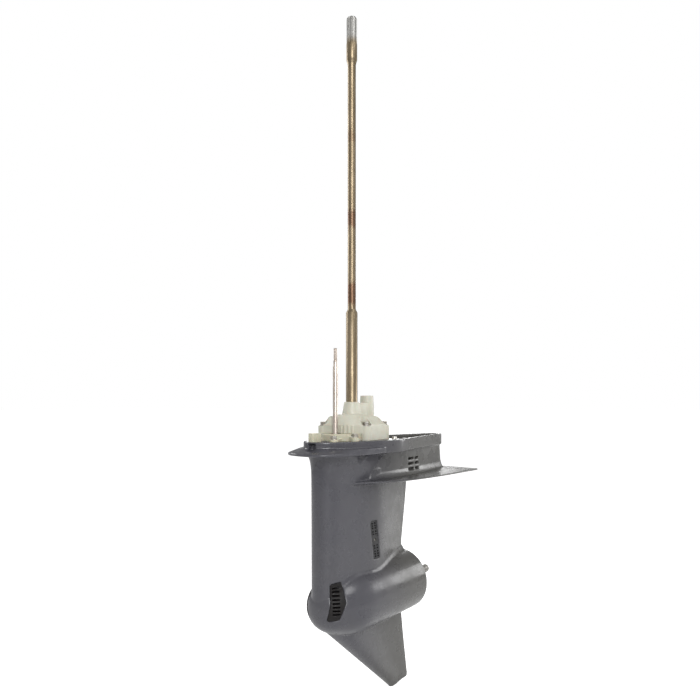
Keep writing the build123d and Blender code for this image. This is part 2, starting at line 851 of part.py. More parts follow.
# Screens over the water intakes in the leg's sides, each moulded in one piece.
for side, name in ((-1, "intake_grille_port"), (1, "intake_grille_starboard")):
    with BuildPart() as grille:
        with BuildSketch(Plane.XZ.offset(-side * intake_floor)):
            add(grille_outline(0.15))
            with Locations(*grille_holes()):
                Rectangle(grille_hole, grille_hole * 0.6, mode=Mode.SUBTRACT)
            with Locations(grille_middle):
                Circle(grille_screw_radius + 0.15, mode=Mode.SUBTRACT)
        extrude(amount=-side * grille_thickness)
    grille.part.label = name
    export_step(grille.part, f"parts/{name}.step")

# One countersunk screw holds each screen.
with BuildPart() as grille_screws:
    for side in (-1, 1):
        middle = Plane.XZ.offset(-side * (intake_floor - 6))
        with BuildSketch(middle):
            with Locations(grille_middle):
                Circle(grille_screw_radius)
        extrude(amount=-side * (grille_thickness + 5))
grille_screws.part.label = "grille_screws"
export_step(grille_screws.part, "parts/grille_screws.step")

# Slotted inserts in the nose, below the leg: they follow the casting's own surface.
for side, name in ((-1, "nose_intake_port"), (1, "nose_intake_starboard")):
    with BuildPart() as insert:
        with BuildSketch(nose_plane(side)):
            add(nose_outline(side, 0.15))
        extrude(amount=leg_half)
        add(blank, mode=Mode.INTERSECT)
        with BuildSketch(nose_plane(side)):
            with Locations(*[(side * -1.5, v) for v in nose_slots]):
                Rectangle(14, 2.4)
        extrude(amount=leg_half, mode=Mode.SUBTRACT)
    insert.part.label = name
    export_step(insert.part, f"parts/{name}.step")

# Oil level and drain plugs with their washers.
with BuildPart() as oil_plugs:
    for x, seat, z in plugs_at:
        with Locations(Plane(origin=(x, seat + plug_washer, z), x_dir=(1, 0, 0), z_dir=(0, 1, 0))):
            Cylinder(plug_head_radius, 3.5, align=FROM_BOTTOM)
            Cylinder(plug_radius - fit, plug_length + plug_washer, align=FROM_TOP)
        slot = Plane(origin=(x, seat + plug_washer + 3.5, z), x_dir=(1, 0, 0), z_dir=(0, 1, 0))
        with Locations(slot):
            Box(2 * plug_head_radius, 1.6, 3.2, mode=Mode.SUBTRACT)
oil_plugs.part.label = "oil_plugs"
export_step(oil_plugs.part, "parts/oil_plugs.step")

with BuildPart() as plug_washers:
    for x, seat, z in plugs_at:
        with BuildSketch(Plane(origin=(x, seat, z), x_dir=(1, 0, 0), z_dir=(0, 1, 0))):
            Circle(plug_head_radius)
            Circle(plug_radius + fit, mode=Mode.SUBTRACT)
        extrude(amount=plug_washer)
plug_washers.part.label = "plug_washers"
export_step(plug_washers.part, "parts/plug_washers.step")

# Dowels that line the flange up with the engine's leg.
with BuildPart() as dowels:
    with Locations(*[(x, y, -dowel_depth) for x, y in dowels_at]):
        Cylinder(dowel_radius - fit, dowel_depth + dowel_proud, align=FROM_BOTTOM)
    chamfer(dowels.edges().group_by(Axis.Z)[-1], 0.8)
dowels.part.label = "dowels"
export_step(dowels.part, "parts/dowels.step")

# The drive shaft: splined top, collar, thin upper length, thick lower length, pinion seat.
pinion_front = axis_z + toe_share * (gear_pitch + dedendum * sin(atan(pinion_pitch / gear_pitch)))
shoulder = axis_z + pinion_hub_top + shim_thickness
shaft_end = pinion_front - nut_height - 1
spline_foot = shaft_top - spline_length
with BuildPart() as drive_shaft:
    add(turned([
        (0, shaft_end), (thread_radius, shaft_end), (thread_radius, pinion_front),
        (pinion_bore - fit, pinion_front), (pinion_bore - fit, shoulder),
        (shaft_radius, shoulder), (shaft_radius, shaft_neck_top),
        (shaft_thin_radius, shaft_neck_top + 6), (shaft_thin_radius, shaft_thin_top),
        (collar_radius, collar_bottom), (collar_radius, spline_foot),
        (spline_tip_radius, spline_foot), (spline_tip_radius, shaft_top - 4),
        (spline_tip_radius - 2.6, shaft_top), (0, shaft_top),
    ]))
    with BuildSketch(Plane.XY.offset(spline_foot)):
        with PolarLocations(spline_tip_radius, shaft_splines):
            Rectangle(2.4, 2 * pi * spline_tip_radius / shaft_splines * 0.45)
    extrude(amount=spline_length, mode=Mode.SUBTRACT)
    with Locations((shaft_radius, 0, key_middle)):
        Box(2 * key_sink, key_width + 2 * fit, key_length, mode=Mode.SUBTRACT)
drive_shaft.part.label = "drive_shaft"
export_step(drive_shaft.part, "parts/drive_shaft.step")

# The pinion and the nut that holds it on the shaft's end.
hub_foot = gear_pitch + dedendum * sin(atan(pinion_pitch / gear_pitch))
with BuildPart() as pinion_gear:
    pinion = bevel_gear(
        pinion_pitch, gear_pitch, pinion_teeth, pinion_bore,
        [(hub_foot * toe_share, pinion_bore + 2)],
        [(hub_foot + 2, pinion_hub_radius), (pinion_hub_top, pinion_hub_radius)],
    )
    add(pinion.moved(Location(pinion_frame)))
pinion_gear.part.label = "pinion_gear"
export_step(pinion_gear.part, "parts/pinion_gear.step")

with BuildPart() as pinion_nut:
    with BuildSketch(Plane.XY.offset(pinion_front - nut_height)):
        RegularPolygon(nut_across / 2, 6, major_radius=False)
        Circle(thread_radius + fit, mode=Mode.SUBTRACT)
    extrude(amount=nut_height)
    chamfer(pinion_nut.edges().group_by(Axis.Z)[0].filter_by(GeomType.LINE), 1)
pinion_nut.part.label = "pinion_nut"
export_step(pinion_nut.part, "parts/pinion_nut.step")

with BuildPart() as pinion_shim:
    add(ring(pinion_hub_radius - 1, pinion_bore, shoulder - shim_thickness, shoulder))
pinion_shim.part.label = "pinion_shim"
export_step(pinion_shim.part, "parts/pinion_shim.step")

# Needle bearing above the pinion: a drawn shell with its needles.
with BuildPart() as lower_needle_bearing:
    add(ring(needle_outer - fit, needle_outer - 3, pinion_roof, needle_top))
    with BuildSketch(Plane.XY.offset(pinion_roof + 2)):
        with PolarLocations((shaft_radius + needle_outer - 3) / 2 + journal, 14):
            Circle((needle_outer - 3 - shaft_radius) / 2 - journal)
    extrude(amount=needle_length - 4)
lower_needle_bearing.part.label = "lower_needle_bearing"
export_step(lower_needle_bearing.part, "parts/lower_needle_bearing.step")

# The upper bearing carries the shaft: a tapered pair held down by a threaded ring.
cup_width = 17.0
upper_frame = Plane(origin=(0, 0, -bearing_floor + cup_width), x_dir=(1, 0, 0), z_dir=(0, 0, -1))
with BuildPart() as upper_bearing_cup:
    cup = taper_cup(shaft_radius + fit, bearing_bore, cup_width)
    add(cup.moved(Location(upper_frame)))
upper_bearing_cup.part.label = "upper_bearing_cup"
export_step(upper_bearing_cup.part, "parts/upper_bearing_cup.step")

with BuildPart() as upper_bearing_cone:
    cone = taper_cone(shaft_radius + fit, bearing_bore, cup_width, 12)
    add(cone.moved(Location(upper_frame)))
upper_bearing_cone.part.label = "upper_bearing_cone"
export_step(upper_bearing_cone.part, "parts/upper_bearing_cone.step")

nut_floor = -bearing_floor + cup_width
with BuildPart() as bearing_retainer:
    add(ring(bearing_bore - fit, bearing_bore - 4.5, nut_floor, nut_floor + 8))
    with BuildSketch(Plane.XY.offset(nut_floor + 4)):
        with PolarLocations(bearing_bore - 3, 4):
            Rectangle(6, 6)
    extrude(amount=4, mode=Mode.SUBTRACT)
bearing_retainer.part.label = "bearing_retainer"
export_step(bearing_retainer.part, "parts/bearing_retainer.step")

# Oil seal housing under the pump, with its two lip seals.
with BuildPart() as seal_housing:
    seal_floor = -oil_seal_depth
    groove_height = 10
    add(turned([
        (shaft_radius + 2, seal_floor), (oil_seal_bore - fit, seal_floor),
        (oil_seal_bore - fit, 0), (seal_radius, 0), (seal_radius, seal_floor + 4),
        (shaft_radius + 2, seal_floor + 4),
    ]))
    with BuildSketch(Plane.XZ):
        with Locations((oil_seal_bore, seal_floor + groove_height)):
            Rectangle(2 * o_ring + 0.2, o_ring + 1)
    revolve(axis=Axis.Z, mode=Mode.SUBTRACT)
seal_housing.part.label = "seal_housing"
export_step(seal_housing.part, "parts/seal_housing.step")

with BuildPart() as seal_housing_o_ring:
    with BuildSketch(Plane.XZ):
        with Locations((oil_seal_bore - o_ring / 2 - 0.05, seal_floor + groove_height)):
            Circle(o_ring / 2)
    revolve(axis=Axis.Z)
seal_housing_o_ring.part.label = "seal_housing_o_ring"
export_step(seal_housing_o_ring.part, "parts/seal_housing_o_ring.step")

with BuildPart() as drive_shaft_seals:
    for start in (seal_floor + 4, seal_floor + 4 + seal_width):
        add(turned([
            (shaft_radius + running, start + 1), (shaft_radius + 2.2, start + 1),
            (shaft_radius + 2.2, start), (seal_radius - fit, start),
            (seal_radius - fit, start + seal_width - 0.2),
            (seal_radius - 2, start + seal_width - 0.2), (seal_radius - 2, start + 2),
            (shaft_radius + running, start + 2.5),
        ]))
drive_shaft_seals.part.label = "drive_shaft_seals"
export_step(drive_shaft_seals.part, "parts/drive_shaft_seals.step")

# Forward and reverse gears. Each turns on the propeller shaft on a bush.
gear_bore = prop_radius + bush_wall
crown = gear_pitch - dedendum * cos(atan(gear_pitch / pinion_pitch))
crown_back = pinion_pitch + dedendum * sin(atan(gear_pitch / pinion_pitch))
dog_start = clutch_half + dog_height + dog_gap
gear_face = crown_back * toe_share
nose_points = [(gear_face, clutch_radius + 2)]
for name, frame, hub_end in (
    ("forward_gear", forward_frame, -rod_x - cam_radius - 0.5),
    ("reverse_gear", reverse_frame, carrier_front + ball_width - 0.4),
):
    with BuildPart() as gear:
        blank_gear = bevel_gear(
            gear_pitch, pinion_pitch, gear_teeth, gear_bore, nose_points,
            [(gear_back - 0.5, crown), (gear_back - 0.5, gear_hub_radius),
             (hub_end, gear_hub_radius)],
        )
        with BuildSketch(Plane.XY.offset(dog_start)):
            with PolarLocations((dog_inner + clutch_radius) / 2, dog_count):
                Rectangle(clutch_radius - dog_inner, clutch_radius * 0.4)
        extrude(amount=gear_face - dog_start)
        with PolarLocations(0, 1, start_angle=180 / gear_teeth):
            add(blank_gear)
    placed = gear.part.moved(Location(frame))
    placed.label = name
    export_step(placed, f"parts/{name}.step")

# Bushes pressed into the gears' bores.
for name, side, hub_end in (
    ("forward_gear_bush", -1, prop_front), ("reverse_gear_bush", 1, carrier_front + ball_width),
):
    with BuildPart() as bush:
        add(ring_on_prop(gear_bore - fit, prop_radius + journal, side * gear_face, side * hub_end))
    bush.part.label = name
    export_step(bush.part, f"parts/{name}.step")

# Tapered bearing behind the forward gear.
forward_width = gear_hub_end - gear_back
cone_frame = Plane(origin=(-gear_back, 0, axis_z), x_dir=(0, 0, 1), z_dir=(-1, 0, 0))
with BuildPart() as forward_bearing_cup:
    cup = taper_cup(gear_hub_radius + fit, forward_cup_radius, forward_width)
    add(cup.moved(Location(cone_frame)))
forward_bearing_cup.part.label = "forward_bearing_cup"
export_step(forward_bearing_cup.part, "parts/forward_bearing_cup.step")

with BuildPart() as forward_bearing_cone:
    cone = taper_cone(gear_hub_radius + fit, forward_cup_radius, forward_width, 16)
    add(cone.moved(Location(cone_frame)))
forward_bearing_cone.part.label = "forward_bearing_cone"
export_step(forward_bearing_cone.part, "parts/forward_bearing_cone.step")

# Ball bearing behind the reverse gear: outer race in the carrier, inner race on the hub.
ball_track = (ball_bearing_radius + gear_hub_radius) / 2
ball_radius = (ball_bearing_radius - gear_hub_radius) * 0.28
ball_middle = carrier_front + ball_width / 2
with BuildPart() as reverse_bearing_outer:
    add(ring_on_prop(
        ball_bearing_radius - fit, ball_track + ball_radius * 0.55, carrier_front,
        carrier_front + ball_width,
    ))
    with BuildSketch(axis_plane):
        with Locations((ball_middle, ball_track)):
            Circle(ball_radius + running)
    revolve(axis=prop_axis, mode=Mode.SUBTRACT)
reverse_bearing_outer.part.label = "reverse_bearing_outer"
export_step(reverse_bearing_outer.part, "parts/reverse_bearing_outer.step")

with BuildPart() as reverse_bearing_inner:
    add(ring_on_prop(
        ball_track - ball_radius * 0.55, gear_hub_radius + fit, carrier_front - 2.6,
        carrier_front + ball_width,
    ))
    turned_plane = Plane(origin=(ball_middle, 0, axis_z), x_dir=(0, 1, 0), z_dir=(1, 0, 0))
    with Locations(turned_plane):
        with PolarLocations(ball_track, 12):
            Sphere(ball_radius)
reverse_bearing_inner.part.label = "reverse_bearing_inner"
export_step(reverse_bearing_inner.part, "parts/reverse_bearing_inner.step")

# The propeller shaft: hollow front for the plunger, splines for the clutch, a thrust
# collar, the journal in the carrier, then the propeller's cone, splines and thread.
collar_x = carrier_front + ball_width + 2
with BuildPart() as propeller_shaft:
    add(turned_on_prop([
        (-prop_front, plunger_bore), (-prop_front, prop_radius), (collar_x, prop_radius),
        (collar_x, thrust_radius), (collar_x + 5, thrust_radius), (collar_x + 5, prop_aft_radius),
        (bullet_rear + 8, prop_aft_radius), (bullet_rear + 18, prop_tail_radius),
        (prop_spline_end, prop_tail_radius), (prop_spline_end + 2, prop_thread_radius),
        (prop_end - 1.5, prop_thread_radius), (prop_end, prop_thread_radius - 1.5),
        (prop_end, 0), (clutch_half + 6, 0), (clutch_half + 6, plunger_bore),
    ]))
    with BuildSketch(Plane(origin=(-clutch_reach, 0, axis_z), x_dir=(0, 1, 0), z_dir=(1, 0, 0))):
        with PolarLocations((prop_radius + prop_spline_root) / 2 + 1, clutch_splines):
            Rectangle(prop_radius - prop_spline_root + 2, spline_gap)
    extrude(amount=2 * clutch_reach, mode=Mode.SUBTRACT)
    with BuildSketch(Plane(origin=(bullet_rear + 22, 0, axis_z), x_dir=(0, 1, 0), z_dir=(1, 0, 0))):
        with PolarLocations(prop_tail_radius + 0.4, propeller_splines):
            Rectangle(2.6, pi * prop_tail_radius / propeller_splines)
    extrude(amount=prop_spline_end - bullet_rear - 22, mode=Mode.SUBTRACT)
    with BuildSketch(Plane.XZ):
        with Locations((0, axis_z)):
            SlotOverall(2 * (clutch_travel + pin_radius + running), 2 * (pin_radius + running))
    extrude(amount=prop_radius + 1, both=True, mode=Mode.SUBTRACT)
    with Locations((prop_end - 8, 0, axis_z)):
        Cylinder(2, 3 * prop_tail_radius, mode=Mode.SUBTRACT)
propeller_shaft.part.label = "propeller_shaft"
export_step(propeller_shaft.part, "parts/propeller_shaft.step")

# The dog clutch slides on the shaft's splines. A cross pin ties it to the plunger inside,
# and a ring round the clutch keeps the pin in.
clutch_plane = Plane(origin=(-clutch_half, 0, axis_z), x_dir=(0, 1, 0), z_dir=(1, 0, 0))
with BuildPart() as dog_clutch:
    with BuildSketch(clutch_plane):
        Circle(clutch_radius)
        Circle(prop_radius + journal, mode=Mode.SUBTRACT)
        with PolarLocations((prop_radius + prop_spline_root) / 2 + 0.7, clutch_splines):
            Rectangle(prop_radius - prop_spline_root + 0.6, spline_gap - 0.3)
    extrude(amount=2 * clutch_half)
    for start in (-clutch_half - dog_height, clutch_half):
        dog_plane = Plane(origin=(start, 0, axis_z), x_dir=(0, 1, 0), z_dir=(1, 0, 0))
        with BuildSketch(dog_plane):
            with PolarLocations((dog_inner + clutch_radius) / 2, dog_count):
                Rectangle(clutch_radius - dog_inner, clutch_radius * 0.4)
        extrude(amount=dog_height)
    with BuildSketch(axis_plane):
        with Locations((0, clutch_radius)):
            Rectangle(2 * pin_ring_radius + 0.4, 2 * pin_ring_radius)
    revolve(axis=prop_axis, mode=Mode.SUBTRACT)
    with Locations((0, 0, axis_z)):
        Cylinder(pin_radius + fit, 3 * clutch_radius, rotation=(90, 0, 0), mode=Mode.SUBTRACT)
dog_clutch.part.label = "dog_clutch"
export_step(dog_clutch.part, "parts/dog_clutch.step")

with BuildPart() as clutch_pin:
    with Locations((0, 0, axis_z)):
        Cylinder(pin_radius, 2 * (clutch_radius - pin_ring_radius - 0.2), rotation=(90, 0, 0))
clutch_pin.part.label = "clutch_pin"
export_step(clutch_pin.part, "parts/clutch_pin.step")

with BuildPart() as clutch_ring:
    add(ring_on_prop(
        clutch_radius, clutch_radius - pin_ring_radius + fit, -pin_ring_radius, pin_ring_radius
    ))
clutch_ring.part.label = "clutch_ring"
export_step(clutch_ring.part, "parts/clutch_ring.step")

head_front = -slider_rear - 6.5
with BuildPart() as shift_plunger:
    add(turned_on_prop([
        (head_front, 0), (head_front, plunger_head_radius), (head_front + 2.5, plunger_head_radius),
        (head_front + 2.5, plunger_neck_radius), (1.5 - slider_rear, plunger_neck_radius),
        (1.5 - slider_rear, plunger_radius), (clutch_half + 2, plunger_radius),
        (clutch_half + 2, 0),
    ]))
    with Locations((0, 0, axis_z)):
        Cylinder(pin_radius + fit, 3 * plunger_radius, rotation=(90, 0, 0), mode=Mode.SUBTRACT)
shift_plunger.part.label = "shift_plunger"
export_step(shift_plunger.part, "parts/shift_plunger.step")

# The slider in the nose: the cam's crank pin works in the slot on its top, and a slot
# open at the bottom holds the plunger's head.
slot_floor = axis_z + slider_radius - crank_depth
with BuildPart() as shift_slider:
    with Locations(Plane(origin=(-slider_front, 0, axis_z), x_dir=(0, 1, 0), z_dir=(1, 0, 0))):
        Cylinder(slider_radius, slider_front - slider_rear, align=FROM_BOTTOM)
    with Locations((rod_x, 0, slot_floor)):
        Box(
            2 * (crank_pin_radius + slot_play), 3 * slider_radius, 2 * crank_depth,
            align=FROM_BOTTOM, mode=Mode.SUBTRACT,
        )
    for radius, front, rear in (
        (plunger_head_radius, head_front, head_front + 2.5),
        (plunger_neck_radius, head_front + 2.5, 1 - slider_rear),
    ):
        room = radius + running
        slot_plane = Plane(origin=(front - slot_play, 0, axis_z), x_dir=(0, 1, 0), z_dir=(1, 0, 0))
        with BuildSketch(slot_plane):
            Circle(room)
            with Locations((0, -slider_radius)):
                Rectangle(2 * room, 2 * slider_radius)
        extrude(amount=rear - front + 2 * slot_play, mode=Mode.SUBTRACT)
shift_slider.part.label = "shift_slider"
export_step(shift_slider.part, "parts/shift_slider.step")

# The shift rod with the cam on its lower end, whose crank pin moves the slider.
cam_floor = axis_z + cam_top - cam_height
rod_frame = Plane(origin=(rod_x, 0, 0), x_dir=(1, 0, 0), z_dir=(0, -1, 0))
rod_spline_foot = rod_top - rod_spline_length
with BuildPart() as shift_rod:
    with BuildSketch(rod_frame):
        with BuildLine():
            Polyline(
                (0, cam_floor), (cam_seat_radius, cam_floor), (cam_seat_radius, cam_floor + cam_height),
                (rod_radius, cam_floor + cam_height), (rod_radius, rod_step),
                (rod_tip_radius, rod_step + 4), (rod_tip_radius, rod_spline_foot),
                (rod_spline_radius, rod_spline_foot), (rod_spline_radius, rod_top - 1.5),
                (rod_spline_radius - 1.2, rod_top), (0, rod_top), close=True,
            )
        make_face()
    revolve(axis=Axis((rod_x, 0, 0), (0, 0, 1)))
    with BuildSketch(Plane(origin=(rod_x, 0, rod_spline_foot), x_dir=(1, 0, 0), z_dir=(0, 0, 1))):
        with PolarLocations(rod_spline_radius, 6):
            Rectangle(1, 0.85)
    extrude(amount=rod_spline_length, mode=Mode.SUBTRACT)
shift_rod.part.label = "shift_rod"
export_step(shift_rod.part, "parts/shift_rod.step")

with BuildPart() as shift_cam:
    with BuildSketch(Plane(origin=(rod_x, 0, cam_floor), x_dir=(1, 0, 0), z_dir=(0, 0, 1))):
        Circle(cam_radius)
        Circle(cam_seat_radius + fit, mode=Mode.SUBTRACT)
    extrude(amount=cam_height)
    with Locations((rod_x, crank_throw, cam_floor + 1)):
        Cylinder(crank_pin_radius, cam_floor + 1 - slot_floor - 0.4, align=FROM_TOP)
    with Locations((rod_x, 0, cam_floor)):
        Cylinder(cam_seat_radius + fit, cam_height, align=FROM_BOTTOM, mode=Mode.SUBTRACT)
shift_cam.part.label = "shift_cam"
export_step(shift_cam.part, "parts/shift_cam.step")

# The bearing carrier closes the gear chamber and leaves the exhaust a way past it.
ring_rear = carrier_ring_front + carrier_ring_length
seal_seat = prop_aft_radius + 7
with BuildPart() as bearing_carrier:
    add(turned_on_prop([
        (carrier_front, ball_bearing_radius), (carrier_front, carrier_bore - fit),
        (carrier_neck, carrier_bore - fit), (carrier_neck + 16, carrier_tube_radius),
        (ring_rear + 8, carrier_tube_radius), (ring_rear + 8, seal_seat),
        (ring_rear - 8, seal_seat), (ring_rear - 8, prop_aft_radius + 4),
        (ring_rear - 8 - carrier_needle, prop_aft_radius + 4),
        (ring_rear - 8 - carrier_needle, prop_aft_radius + 0.6),
        (carrier_neck + 6, prop_aft_radius + 0.6), (carrier_neck + 6, thrust_radius + 1.5),
        (carrier_front + ball_width, thrust_radius + 1.5),
        (carrier_front + ball_width, ball_bearing_radius),
    ]))
    add(ring_on_prop(outlet_bore - fit, outlet_bore - 6, carrier_ring_front, ring_rear))
    web_front = carrier_ring_front - 30
    for turn in (45, 135, 225, 315):
        out = (0, sin(radians(turn)), cos(radians(turn)))
        web = Plane(origin=(0, 0, axis_z), x_dir=(1, 0, 0), z_dir=out)
        with BuildSketch(web.offset(carrier_tube_radius - 2)):
            with Locations(((web_front + ring_rear) / 2, 0)):
                Rectangle(ring_rear - web_front, 6)
        extrude(amount=outlet_bore - 4 - carrier_tube_radius)
    with BuildSketch(axis_plane):
        with Locations((carrier_front + 8, carrier_bore)):
            Rectangle(o_ring + 1, 2 * o_ring + 0.2)
    revolve(axis=prop_axis, mode=Mode.SUBTRACT)
bearing_carrier.part.label = "bearing_carrier"
export_step(bearing_carrier.part, "parts/bearing_carrier.step")

with BuildPart() as carrier_o_ring:
    with BuildSketch(axis_plane):
        with Locations((carrier_front + 8, carrier_bore - o_ring / 2 - 0.05)):
            Circle(o_ring / 2)
    revolve(axis=prop_axis)
carrier_o_ring.part.label = "carrier_o_ring"
export_step(carrier_o_ring.part, "parts/carrier_o_ring.step")

with BuildPart() as carrier_needle_bearing:
    needle_front = ring_rear - 8 - carrier_needle
    add(ring_on_prop(prop_aft_radius + 4 - fit, prop_aft_radius + 2.6, needle_front, ring_rear - 8))
    with BuildSketch(Plane(origin=(needle_front + 1, 0, axis_z), x_dir=(0, 1, 0), z_dir=(1, 0, 0))):
        with PolarLocations(prop_aft_radius + 1.3 + journal, 16):
            Circle(1.2)
    extrude(amount=carrier_needle - 2)
carrier_needle_bearing.part.label = "carrier_needle_bearing"
export_step(carrier_needle_bearing.part, "parts/carrier_needle_bearing.step")

with BuildPart() as propeller_seals:
    for start in (ring_rear - 8, ring_rear):
        add(turned_on_prop([
            (start + 1, prop_aft_radius + running), (start + 3, prop_aft_radius + running),
            (start + 2.5, seal_seat - 2), (start + 7.8, seal_seat - 2), (start + 7.8, seal_seat - fit),
            (start, seal_seat - fit), (start, prop_aft_radius + 3), (start + 1, prop_aft_radius + 3),
        ]))
propeller_seals.part.label = "propeller_seals"
export_step(propeller_seals.part, "parts/propeller_seals.step")

# The threaded ring behind the carrier, with notches for its spanner.
with BuildPart() as carrier_nut:
    add(ring_on_prop(outlet_bore - fit, outlet_bore - 6, ring_rear, ring_rear + ring_nut_length))
    notch = Plane(origin=(ring_rear + 4, 0, axis_z), x_dir=(0, 1, 0), z_dir=(1, 0, 0))
    with BuildSketch(notch):
        with PolarLocations(outlet_bore - 5.5, 6):
            Rectangle(5, 9)
    extrude(amount=ring_nut_length, mode=Mode.SUBTRACT)
carrier_nut.part.label = "carrier_nut"
export_step(carrier_nut.part, "parts/carrier_nut.step")

# The pump's base plate on the flange: a plateau, with low ears for the deck's own bolts.
with BuildPart() as pump_base:
    with BuildSketch():
        add(deck_outline())
    extrude(amount=deck_height)
    for (x, y), seat in zip(deck_bolts_at, deck_seats):
        with BuildSketch():
            add(ear_outline(x, y))
        extrude(amount=seat)
        with Locations((x, y, seat)):
            Cylinder(ear_radius, deck_height, align=FROM_BOTTOM, mode=Mode.SUBTRACT)
        with Locations((x, y, 0)):
            Cylinder(screw_radius + 0.4, deck_height, align=FROM_BOTTOM, mode=Mode.SUBTRACT)
    with BuildSketch():
        Circle(shaft_radius + 2)
        with Locations(((riser_front + riser_rear) / 2, 0)):
            RectangleRounded(riser_rear - riser_front, 2 * riser_half, 4)
        with Locations((rod_x, 0)):
            Circle(rod_seal_radius)
        with Locations(*pump_bolts_at):
            Circle(screw_radius + 0.4)
        with Locations(*[(x, y) for x, y in pump_bolts_at if boss_foot(x) == 0]):
            Circle(boss_radius + 0.3)
    extrude(amount=deck_height, mode=Mode.SUBTRACT)
    with BuildSketch(Plane.XY.offset(deck_height - 5)):
        with Locations(((shaft_radius + riser_rear) / 2 + 4, 0)):
            SlotOverall(riser_rear - shaft_radius - 8, 14)
    extrude(amount=5, mode=Mode.SUBTRACT)
pump_base.part.label = "pump_base"
export_step(pump_base.part, "parts/pump_base.step")

# Gasket and steel wear plate under the impeller, with the inlet port through both.
for name, start, thickness in (
    ("pump_gasket", deck_height, gasket_thickness), ("wear_plate", wear_floor, wear_thickness),
):
    with BuildPart() as sheet:
        with BuildSketch(Plane.XY.offset(start)):
            Circle(wear_radius)
            Circle(shaft_radius + 1.2, mode=Mode.SUBTRACT)
            with PolarLocations(impeller_hub_radius + 4.5, 3, start_angle=-24, angular_range=48):
                Circle(3.4, mode=Mode.SUBTRACT)
        extrude(amount=thickness)
    sheet.part.label = name
    export_step(sheet.part, f"parts/{name}.step")

with BuildPart() as impeller_key:
    with Locations((shaft_radius, 0, key_middle)):
        Box(2 * key_sink - 0.1, key_width, key_length - 0.1)
impeller_key.part.label = "impeller_key"
export_step(impeller_key.part, "parts/impeller_key.step")

# The impeller: a bonded hub with blades that end in thick, rounded wiping tips.
with BuildPart() as impeller:
    with BuildSketch(Plane.XY.offset(cup_floor + running)):
        Circle(impeller_hub_radius)
        with PolarLocations(0, vane_count):
            with Locations(((impeller_hub_radius + vane_reach) / 2 - 1, 0)):
                Rectangle(vane_reach - impeller_hub_radius + 1, 2.6)
            with Locations((vane_reach - 1.9, 0)):
                Circle(1.9)
        Circle(shaft_radius + fit, mode=Mode.SUBTRACT)
        with Locations((shaft_radius, 0)):
            Rectangle(2 * key_sink + 0.1, key_width + 2 * fit, mode=Mode.SUBTRACT)
    extrude(amount=impeller_height)
impeller.part.label = "impeller"
export_step(impeller.part, "parts/impeller.step")

# The steel cup round the impeller sits off centre, so that the blades bend as they pass.
with BuildPart() as impeller_cup:
    with BuildSketch(Plane.XY.offset(cup_floor)):
        with Locations((0, cup_offset)):
            Circle(cup_radius)
    extrude(amount=cup_top - cup_floor + cup_wall)
    with BuildSketch(Plane.XY.offset(cup_floor)):
        with Locations((0, cup_offset)):
            Circle(cup_bore)
    extrude(amount=cup_top - cup_floor, mode=Mode.SUBTRACT)
    with BuildSketch(Plane.XY.offset(cup_top)):
        Circle(shaft_radius + 1)
    extrude(amount=cup_wall, mode=Mode.SUBTRACT)
    with Locations((outlet_x - 14, 0, cup_top - 6)):
        Box(28, 9, 8, align=(Align.CENTER, Align.CENTER, Align.CENTER), mode=Mode.SUBTRACT)
impeller_cup.part.label = "impeller_cup"
export_step(impeller_cup.part, "parts/impeller_cup.step")

